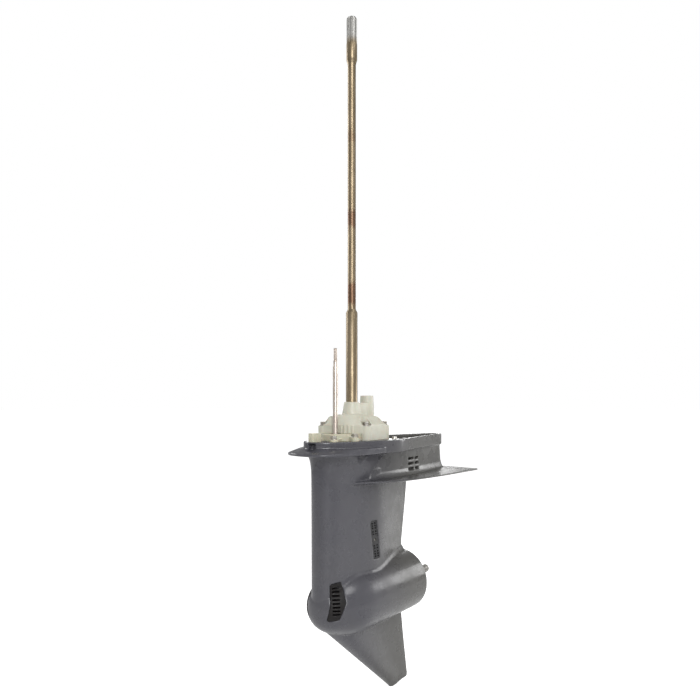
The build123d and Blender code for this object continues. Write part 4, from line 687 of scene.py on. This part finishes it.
class Maker:
    """Turns meshes into placed pieces, and counts them."""

    def __init__(self, frame: dict[str, Any]) -> None:
        """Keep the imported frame.
        """
        self.frame = frame
        self.count = 0

    def piece(self, label: Label, mesh: bpy.types.Mesh) -> None:
        """Make one placed piece.

        Args:
            label: what the piece is.
            mesh: its mesh, in place, in metres.
        """
        finish_mesh(mesh, label.crease)
        mesh.materials.clear()
        mesh.materials.append(label.material)
        item = bpy.data.objects.new(label.name, mesh)
        bpy.context.scene.collection.objects.link(item)
        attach(item, label.body.value)
        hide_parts(*label.nodes)
        self.count += 1
        log.info("%s: %d faces on %s", label.name, len(mesh.polygons), label.body.value)

    def from_bmesh(self, label: Label, work: bmesh.types.BMesh) -> None:
        """Close a bmesh and make it a placed piece.

        Args:
            label: what the piece is.
            work: the bmesh, which is freed.
        """
        bmesh.ops.remove_doubles(work, verts=work.verts, dist=WELD)
        bmesh.ops.recalc_face_normals(work, faces=work.faces)
        self.piece(label, self.to_mesh(work, label.name))

    def to_mesh(self, work: bmesh.types.BMesh, name: str) -> bpy.types.Mesh:
        """Turn a bmesh into a mesh of the name given, and free it."""
        mesh = bpy.data.meshes.new(name)
        work.to_mesh(mesh)
        work.free()
        return mesh

    def node_copy(self, node: str) -> bmesh.types.BMesh:
        """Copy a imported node's mesh with its loose triangles merged.

        Args:
            node: the node's name.

        Returns:
            The merged copy.
        """
        work = bmesh.new()
        work.from_mesh(self.frame["nodes"][node].data)
        bmesh.ops.remove_doubles(work, verts=work.verts, dist=2 * WELD)
        bmesh.ops.dissolve_degenerate(work, edges=work.edges, dist=WELD / 10)
        return work

    def through(self, mesh: bpy.types.Mesh, steps: dict[str, dict[str, Any]]) -> bpy.types.Mesh:
        """Run a mesh through modifiers and return the applied result.

        Args:
            mesh: the mesh, which is removed.
            steps: each modifier's type and properties, in order.

        Returns:
            The new mesh.
        """
        holder = bpy.data.objects.new("holder", mesh)
        bpy.context.scene.collection.objects.link(holder)
        for kind, values in steps.items():
            modifier = holder.modifiers.new(kind.lower(), kind)
            for key, value in values.items():
                setattr(modifier, key, value)
        graph = bpy.context.evaluated_depsgraph_get()
        result = bpy.data.meshes.new_from_object(holder.evaluated_get(graph))
        bpy.data.objects.remove(holder)
        bpy.data.meshes.remove(mesh)
        return result


@dataclass
class CastPiece:
    """A part of the case whose corners are softened as its mould softens them."""

    node: str
    slot: Slot
    finish: str
    voxel: float
    rounds: int = 3
    triangles: int = 30000
    crease: float = 60.0

    def build(self, maker: Maker, paints: Paints) -> None:
        """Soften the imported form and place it.

        Args:
            maker: the piece maker.
            paints: the materials.
        """
        name = self.node + "_skin"
        mesh = maker.to_mesh(maker.node_copy(self.node), name)
        mesh = maker.through(
            mesh, {"REMESH": {"mode": "VOXEL", "voxel_size": self.voxel, "adaptivity": 0.0}}
        )
        faces = len(mesh.polygons) * 2
        steps: dict[str, dict[str, Any]] = {"SMOOTH": {"factor": 0.5, "iterations": self.rounds}}
        if faces > self.triangles:
            steps["DECIMATE"] = {"ratio": self.triangles / faces}
        mesh = maker.through(mesh, steps)
        material = getattr(paints, self.finish)
        maker.piece(Label(name, Body.CASE, self.slot, material, (self.node,), self.crease), mesh)


def spin_profile(
    work: bmesh.types.BMesh, outline: Outline, centre: Point, along: Along, steps: int
) -> None:
    """Turn a (radius, height) outline into a closed solid of revolution.

    Args:
        work: the bmesh that the solid is added to.
        outline: the outline from axis to axis, in metres.
        centre: a point on the axis that heights count from.
        along: the axis.
        steps: facets round the solid.
    """
    middle, axis = Vector(centre), Vector((0, 0, 0))
    axis[along.value] = 1
    side = Vector((1, 0, 0)) if along is Along.Z else Vector((0, 0, 1))
    verts = [work.verts.new(middle + side * radius + axis * height) for radius, height in outline]
    edges = [work.edges.new(pair) for pair in zip(verts, verts[1:])]
    bmesh.ops.spin(
        work, geom=verts + edges, cent=middle, axis=axis, dvec=Vector((0, 0, 0)),
        angle=FULL_TURN, steps=steps, use_merge=True, use_duplicate=False,
    )
    bmesh.ops.remove_doubles(work, verts=work.verts, dist=WELD)


@dataclass
class SplinedBar:
    """A splined length of shaft with a chamfered end.

    Land and flank are the half width of a spline's top and the width of its side, as shares
    of the spacing of the teeth.
    """

    crest: float
    root: float
    foot: float
    head: float
    chamfer: float
    teeth: int = 12
    steps_per_tooth: int = 12
    land: float = 0.2
    flank: float = 0.1

    def add_to(self, work: bmesh.types.BMesh, centre: Point, along: Along) -> None:
        """Add the bar to a bmesh.

        Args:
            work: the bmesh.
            centre: the point on the bar's axis that its foot and head count from.
            along: its axis.
        """
        turn = Matrix.Identity(4) if along is Along.Z else Matrix.Rotation(math.pi / 2, 4, "Y")
        shift = Vector(centre)
        shift[along.value] += self.foot
        before = set(work.verts)
        ring = bmesh.ops.create_circle(
            work, cap_ends=True, segments=self.teeth * self.steps_per_tooth, radius=self.crest
        )
        for vert in ring["verts"]:
            turned = (math.atan2(vert.co.y, vert.co.x) * self.teeth / FULL_TURN) % 1.0
            depth = min(max((0.5 - abs(turned - 0.5) - self.land) / self.flank, 0.0), 1.0)
            vert.co *= 1 + (self.root / self.crest - 1) * depth
        grown = bmesh.ops.extrude_face_region(work, geom=[ring["verts"][0].link_faces[0]])
        top = [item for item in grown["geom"] if isinstance(item, bmesh.types.BMVert)]
        rise = self.head - self.foot - self.chamfer
        bmesh.ops.translate(work, verts=top, vec=Vector((0, 0, rise)))
        cap = [item for item in grown["geom"] if isinstance(item, bmesh.types.BMFace)]
        bmesh.ops.inset_region(work, faces=cap, thickness=self.chamfer, use_even_offset=False)
        bmesh.ops.translate(work, verts=list(cap[0].verts), vec=Vector((0, 0, self.chamfer)))
        made = [vert for vert in work.verts if vert not in before]
        bmesh.ops.transform(work, matrix=Matrix.Translation(shift) @ turn, verts=made)


@dataclass
class DriveShaft:
    """The long drive shaft from the pinion's nut up to the engine's splines."""

    thick: float = 11 * MM
    thin: float = 7.75 * MM
    collar: float = 10.25 * MM
    seat: float = 9.48 * MM
    thread: float = 6.5 * MM
    seat_foot: float = -273.4 * MM
    shoulder: float = -247 * MM
    neck_foot: float = 241 * MM
    neck_head: float = 247 * MM
    thin_head: float = 712 * MM
    collar_foot: float = 720 * MM
    spline_foot: float = 751 * MM
    spline_tip: float = 9.85 * MM
    spline_root: float = 8.6 * MM
    head: float = 800 * MM
    sunk: float = 0.5 * MM
    facets: int = 72

    def build(self, maker: Maker, paints: Paints) -> None:
        """Turn the shaft and cut its splines.

        Args:
            maker: the piece maker.
            paints: the materials.
        """
        low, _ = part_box("drive_shaft")
        foot = low[2]
        work = bmesh.new()
        outline = [
            (0, foot), (self.thread - MM, foot), (self.thread, foot + MM),
            (self.thread, self.seat_foot), (self.seat, self.seat_foot), (self.seat, self.shoulder),
            (self.thick - 0.4 * MM, self.shoulder), (self.thick, self.shoulder + 0.4 * MM),
            (self.thick, self.neck_foot), (self.thick - 0.8 * MM, self.neck_foot + 1.5 * MM),
            (self.thin + 0.6 * MM, self.neck_head - MM), (self.thin, self.neck_head + MM),
            (self.thin, self.thin_head), (self.thin + 0.3 * MM, self.thin_head + MM),
            (self.collar - 0.6 * MM, self.collar_foot - 0.8 * MM),
            (self.collar, self.collar_foot + 0.6 * MM),
            (self.collar, self.spline_foot - 0.8 * MM),
            (self.collar - 0.8 * MM, self.spline_foot), (0, self.spline_foot),
        ]
        spin_profile(work, outline, (0, 0, 0), Along.Z, self.facets)
        splines = SplinedBar(
            crest=self.spline_tip, root=self.spline_root, foot=self.spline_foot - self.sunk,
            head=self.head, chamfer=1.6 * MM,
        )
        splines.add_to(work, (0, 0, 0), Along.Z)
        label = Label(
            "drive_shaft_turned", Body.DRIVE, Slot.SHAFT, paints.shaft, ("drive_shaft",)
        )
        maker.from_bmesh(label, work)


@dataclass
class ShiftRod:
    """The shift rod beside the drive shaft, with its splined tip."""

    place: float = -47 * MM
    radius: float = 4.7 * MM
    tip: float = 3.75 * MM
    cam_seat: float = 5 * MM
    step: float = 135 * MM
    spline_foot: float = 147 * MM
    spline_tip: float = 3.35 * MM
    spline_root: float = 2.85 * MM
    head: float = 170 * MM
    sunk: float = 0.5 * MM
    facets: int = 48

    def build(self, maker: Maker, paints: Paints) -> None:
        """Turn the rod and cut its splines.

        Args:
            maker: the piece maker.
            paints: the materials.
        """
        low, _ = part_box("shift_rod")
        foot, axis = low[2], (self.place, 0, 0)
        work = bmesh.new()
        outline = [
            (0, foot), (self.radius - MM, foot), (self.radius - MM, foot + self.cam_seat),
            (self.radius, foot + self.cam_seat), (self.radius, self.step),
            (self.tip, self.step + 4 * MM), (self.tip, self.spline_foot - self.sunk),
            (self.tip - 0.5 * MM, self.spline_foot), (0, self.spline_foot),
        ]
        spin_profile(work, outline, axis, Along.Z, self.facets)
        splines = SplinedBar(
            crest=self.spline_tip, root=self.spline_root, foot=self.spline_foot - self.sunk,
            head=self.head, chamfer=0.8 * MM,
        )
        splines.add_to(work, axis, Along.Z)
        label = Label("shift_rod_turned", Body.ROD, Slot.BRIGHT, paints.rod, ("shift_rod",))
        maker.from_bmesh(label, work)


@dataclass
class PropellerEnd:
    """The aft end of the propeller shaft: cone, splines and thread."""

    depth: float = -300 * MM
    journal: float = 15 * MM
    tail: float = 13 * MM
    tooth: float = 1.3 * MM
    thread: float = 8.7 * MM
    thread_depth: float = 0.95 * MM
    cut: float = 174 * MM
    cone_front: float = 178 * MM
    cone_rear: float = 188 * MM
    spline_front: float = 192 * MM
    spline_rear: float = 222 * MM
    thread_front: float = 225 * MM
    thread_rear: float = 260 * MM
    end: float = 262 * MM
    pitch: float = 1.5 * MM
    turn_steps: int = 28

    def build(self, maker: Maker, paints: Paints) -> None:
        """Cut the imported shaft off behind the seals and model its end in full.

        Args:
            maker: the piece maker.
            paints: the materials.
        """
        work = maker.node_copy("propeller_shaft")
        axis = (0, 0, self.depth)
        cut = bmesh.ops.bisect_plane(
            work, geom=[*work.verts, *work.edges, *work.faces], dist=WELD / 10,
            plane_co=Vector((self.cut, 0, 0)), plane_no=Vector((1, 0, 0)), clear_outer=True,
        )
        rim = [item for item in cut["geom_cut"] if isinstance(item, bmesh.types.BMEdge)]
        bmesh.ops.contextual_create(work, geom=rim)
        sunk = self.cut - 2 * MM
        cone = [
            (0, sunk), (self.journal, sunk), (self.journal, self.cone_front),
            (self.tail, self.cone_rear), (self.tail, self.spline_front),
            (self.tail - 1.2 * MM, self.spline_front + MM), (0, self.spline_front + MM),
        ]
        spin_profile(work, cone, axis, Along.X, 64)
        splines = SplinedBar(
            crest=self.tail, root=self.tail - self.tooth, foot=self.spline_front,
            head=self.spline_rear, chamfer=MM,
        )
        splines.add_to(work, axis, Along.X)
        core, sunk = self.thread - self.thread_depth, self.spline_rear - MM
        stub = [
            (0, sunk), (core, sunk), (core, self.end - 1.2 * MM),
            (core - 1.2 * MM, self.end), (0, self.end),
        ]
        spin_profile(work, stub, axis, Along.X, 48)
        self._thread(work, core)
        label = Label(
            "propeller_shaft_turned", Body.PROPELLER, Slot.BRIGHT, paints.propeller,
            ("propeller_shaft",),
        )
        maker.from_bmesh(label, work)

    def _thread(self, work: bmesh.types.BMesh, core: float) -> None:
        """Wind the thread's ridge round the stub.

        Args:
            work: the bmesh that the ridge is added to.
            core: the radius that the ridge stands on.
        """
        turns = int((self.thread_rear - self.thread_front) / self.pitch)
        foot, half = core - 0.1 * MM, self.pitch * 0.46
        crest = half * 0.12
        ridge = [(foot, -half), (self.thread, -crest), (self.thread, crest), (foot, half)]
        verts = [
            work.verts.new(Vector((self.thread_front + along, 0, self.depth + radius)))
            for radius, along in ridge
        ]
        edges = [work.edges.new(pair) for pair in zip(verts, verts[1:])]
        bmesh.ops.spin(
            work, geom=verts + edges, cent=Vector((0, 0, self.depth)), axis=Vector((1, 0, 0)),
            dvec=Vector((self.pitch / self.turn_steps, 0, 0)), angle=FULL_TURN * turns,
            steps=turns * self.turn_steps, use_duplicate=False,
        )


@dataclass
class FlangedBolts:
    """A set of equal flanged hexagon bolts that stand upright, placed by x, y and seat in mm.

    Whatever its seat, each bolt reaches the same depth below the casting's flange.
    """

    name: str
    node: str
    places: Sequence[Point]
    flange: float = 7.2 * MM
    across: float = 11 * MM
    head: float = 5.5 * MM
    reach: float = 15 * MM
    radius: float = 2.98 * MM
    rim: float = 1.4 * MM
    dish: float = 0.5 * MM
    facets: int = 36

    def build(self, maker: Maker, paints: Paints) -> None:
        """Make the bolts as one piece.

        Args:
            maker: the piece maker.
            paints: the materials.
        """
        work = bmesh.new()
        for place in self.places:
            x, y, seat = (value * MM for value in place)
            foot = -seat - self.reach
            outline = [
                (0, foot), (self.radius - 0.6 * MM, foot), (self.radius, foot + 0.7 * MM),
                (self.radius, 0), (self.flange - 0.2 * MM, 0), (self.flange, 0.3 * MM),
                (self.flange - 0.3 * MM, 0.9 * MM), (self.across * 0.54, self.rim), (0, self.rim),
            ]
            spin_profile(work, outline, (x, y, seat), Along.Z, self.facets)
            self._hexagon(work, x, y, seat)
        label = Label(self.name, Body.CASE, Slot.BRIGHT, paints.bolt, (self.node,), crease=28.0)
        maker.from_bmesh(label, work)

    def _hexagon(self, work: bmesh.types.BMesh, x: float, y: float, seat: float) -> None:
        """Add one hexagon head with a rounded upper rim and a shallow dish in its top.

        Args:
            work: the bmesh that the head is added to.
            x: the bolt's place along the unit.
            y: the bolt's place across it.
            seat: the height that its flange sits at.
        """
        corner = self.across / 2 / math.cos(math.pi / 6)
        middle = seat + 1.2 * MM + self.head / 2
        prism = bmesh.ops.create_cone(
            work, cap_ends=True, segments=6, radius1=corner, radius2=corner, depth=self.head,
            matrix=Matrix.Translation((x, y, middle)),
        )
        faces = {face for vert in prism["verts"] for face in vert.link_faces}
        cap = max(faces, key=lambda face: face.calc_center_median().z)
        rim = list(cap.edges)
        bmesh.ops.inset_region(work, faces=[cap], thickness=1.5 * MM)
        bmesh.ops.translate(work, verts=list(cap.verts), vec=Vector((0, 0, -self.dish)))
        bmesh.ops.bevel(
            work, geom=rim, offset=0.7 * MM, affect="EDGES", segments=2, profile=0.5, material=-1
        )


@dataclass
class CarriedNodes:
    """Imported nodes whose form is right: each gets its merged, smoothly shaded copy."""

    groups: Sequence[tuple[Body, Slot, str, tuple[str, ...]]] = (
        (Body.CASE, Slot.BRIGHT, "bolt", ("grille_screws", "oil_plugs", "dowels", "pump_washers")),
        (Body.CASE, Slot.BRIGHT, "cup", ("impeller_cup", "wear_plate")),
        (Body.CASE, Slot.GEAR, "gear", (
            "lower_needle_bearing", "upper_bearing_cup", "bearing_retainer",
            "forward_bearing_cup", "reverse_bearing_outer", "carrier_needle_bearing",
        )),
        (Body.DRIVE, Slot.GEAR, "gear", (
            "pinion_gear", "pinion_nut", "pinion_shim", "upper_bearing_cone", "impeller_key",
        )),
        (Body.FORWARD, Slot.GEAR, "gear", ("forward_gear", "forward_bearing_cone")),
        (Body.REVERSE, Slot.GEAR, "gear", ("reverse_gear", "reverse_bearing_inner")),
        (Body.CLUTCH, Slot.GEAR, "gear", (
            "dog_clutch", "clutch_pin", "clutch_ring", "shift_plunger",
        )),
        (Body.SLIDER, Slot.GEAR, "gear", ("shift_slider",)),
        (Body.ROD, Slot.GEAR, "gear", ("shift_cam",)),
        (Body.CASE, Slot.CARRIER, "carrier", ("bearing_carrier", "carrier_nut", "seal_housing")),
        (Body.FORWARD, Slot.BRONZE, "bronze", ("forward_gear_bush",)),
        (Body.REVERSE, Slot.BRONZE, "bronze", ("reverse_gear_bush",)),
        (Body.CASE, Slot.RUBBER, "rubber", (
            "drive_shaft_seals", "propeller_seals", "pump_neck_seal", "rod_seal",
            "water_tube_seal", "carrier_o_ring", "seal_housing_o_ring", "plug_washers",
        )),
        (Body.DRIVE, Slot.RUBBER, "rubber", ("impeller",)),
        (Body.CASE, Slot.GASKET, "gasket", ("pump_gasket",)),
    )

    def build(self, maker: Maker, paints: Paints) -> None:
        """Give each node its copy, in its group's material.

        Args:
            maker: the piece maker.
            paints: the materials.
        """
        for body, slot, material, nodes in self.groups:
            for node in nodes:
                name = node + "_made"
                label = Label(name, body, slot, getattr(paints, material), (node,), crease=30.0)
                maker.piece(label, maker.to_mesh(maker.node_copy(node), name))


@dataclass(frozen=True)
class Lamp:
    """A soft round light: its place, the point it is aimed at, its width and its power."""

    name: str
    place: Point
    aim: Point
    size: float
    power: float

    def build(self) -> None:
        """Hang the light."""
        lamp = bpy.data.lights.new(self.name, "AREA")
        lamp.shape = "DISK"
        lamp.size = self.size
        lamp.energy = self.power
        item = bpy.data.objects.new(self.name, lamp)
        item.location = self.place
        reach = Vector(self.aim) - Vector(self.place)
        item.rotation_euler = reach.to_track_quat("-Z", "Y").to_euler()
        bpy.context.scene.collection.objects.link(item)


@dataclass
class Studio:
    """Pale floor and backdrop, soft lights and the camera that matches the photograph."""

    camera_at: Point = (-0.8391, -0.6997, 0.0667)
    heading: float = 40.0
    focal_px: float = 575.0
    image_px: float = 700.0
    horizon_px: float = 404.5
    sensor_mm: float = 36.0
    floor: float = -0.5145
    floor_reach: float = 60.0
    floor_glow: float = 0.7
    dim_side: Point = (0.766, 0.643, 0.0)
    front_air: float = 0.62
    rear_air: float = 0.3
    lamps: Sequence[Lamp] = (
        Lamp("key_light", (-1.9, -2.2, 1.3), (0, 0, 0.05), size=1.0, power=46.0),
        Lamp("high_light", (0.2, -2.2, 2.6), (0, 0, -0.1), size=1.4, power=22.0),
        Lamp("aft_light", (2.6, -1.3, 0.5), (0.1, 0, -0.2), size=1.3, power=20.0),
        Lamp("starboard_light", (-0.4, 2.9, 1.5), (0, 0, -0.1), size=1.5, power=34.0),
        Lamp("stern_light", (2.5, 1.8, 1.0), (0, 0, -0.1), size=1.3, power=22.0),
    )

    def build(self) -> None:
        """Set up the floor, the air, the lights and the camera."""
        self._floor()
        self._air()
        for lamp in self.lamps:
            lamp.build()
        self._camera()
        log.info("studio ready")

    def _floor(self) -> None:
        """Lay a flat pale floor under the skeg."""
        work = bmesh.new()
        bmesh.ops.create_grid(
            work, x_segments=1, y_segments=1, size=self.floor_reach,
            matrix=Matrix.Translation((0, 0, self.floor)),
        )
        mesh = bpy.data.meshes.new("studio_floor")
        work.to_mesh(mesh)
        work.free()
        floor = bpy.data.objects.new("studio_floor", mesh)
        bpy.context.scene.collection.objects.link(floor)
        material, bench, shader = open_material("pale_floor", {
            "Base Color": (0.86, 0.86, 0.86, 1.0), "Roughness": 0.9,
            "Emission Color": (1.0, 1.0, 1.0, 1.0),
        })
        seen = bench.add("ShaderNodeLightPath").outputs["Is Camera Ray"]
        glow = bench.sums("MULTIPLY", seen, self.floor_glow)
        bench.feed(shader.inputs["Emission Strength"], glow)
        mesh.materials.append(material)

    def _air(self) -> None:
        """Make an even white backdrop whose light on the object is dimmer from behind it."""
        world = bpy.data.worlds.new("studio_air")
        world.use_nodes = True
        bench = Bench(world.node_tree)
        ray = bench.add("ShaderNodeTexCoord").outputs["Generated"]
        away = bench.add(
            "ShaderNodeVectorMath", {0: ray, 1: self.dim_side}, operation="DOT_PRODUCT"
        )
        light = bench.span(away.outputs["Value"], -0.6, 0.8, self.front_air, self.rear_air)
        seen = bench.add("ShaderNodeLightPath").outputs["Is Camera Ray"]
        strength = bench.add("ShaderNodeMix", {0: seen, 2: light, 3: 1.0}, data_type="FLOAT")
        air = bench.add("ShaderNodeBackground", {0: (1.0, 1.0, 1.0, 1.0), 1: strength.outputs[0]})
        bench.add("ShaderNodeOutputWorld", {0: air.outputs[0]})
        bpy.context.scene.world = world
        bpy.context.scene.view_settings.view_transform = "Standard"

    def _camera(self) -> None:
        """Set a level camera on the port bow, with the horizon low in its frame."""
        data = bpy.data.cameras.new("photo_camera")
        data.sensor_width = self.sensor_mm
        data.lens = self.focal_px / self.image_px * self.sensor_mm
        data.shift_y = (self.horizon_px - self.image_px / 2) / self.image_px
        data.clip_start = 0.01
        camera = bpy.data.objects.new("photo_camera", data)
        camera.location = self.camera_at
        camera.rotation_euler = (math.pi / 2, 0, math.radians(self.heading - 90))
        bpy.context.scene.collection.objects.link(camera)
        bpy.context.scene.camera = camera


def case_pieces() -> list[CastPiece]:
    """Return the casting and the moulded pieces that sit on it, in order."""
    pieces = [
        CastPiece("gearcase", Slot.PAINT, "paint", voxel=1.3 * MM, rounds=6, triangles=190000),
        CastPiece("pump_housing", Slot.PUMP, "pump", voxel=0.7 * MM, rounds=4, triangles=90000),
        CastPiece("pump_base", Slot.PUMP, "base", voxel=0.7 * MM, rounds=4, triangles=40000),
        CastPiece("tube_socket", Slot.PUMP, "base", voxel=0.4 * MM, triangles=20000),
    ]
    for side in ("port", "starboard"):
        pieces += [
            CastPiece("intake_grille_" + side, Slot.BLACK, "grille", voxel=0.35 * MM),
            CastPiece("nose_intake_" + side, Slot.BLACK, "black", voxel=0.6 * MM),
        ]
    return pieces


def main() -> None:
    """Load the frame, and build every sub-assembly in order."""
    logging.basicConfig(level=logging.INFO, format="%(name)s: %(message)s")
    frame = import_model()
    paints = Paints()
    maker = Maker(frame)
    pump_bolts = ((-42, 34, 28.2), (-8, -40, 28.2), (52, -37, 28.2), (30, 45, 28.2))
    deck_bolts = ((-84, -28.5, 5), (-44, -44, 8), (-80, 24, 5))
    for part in (
        *case_pieces(), DriveShaft(), ShiftRod(), PropellerEnd(),
        FlangedBolts("pump_bolt_set", "pump_bolts", pump_bolts),
        FlangedBolts("deck_bolt_set", "deck_bolts", deck_bolts),
        CarriedNodes(),
    ):
        part.build(maker, paints)
    Studio().build()
    log.info("%d pieces", maker.count)


if __name__ == "__main__":
    main()
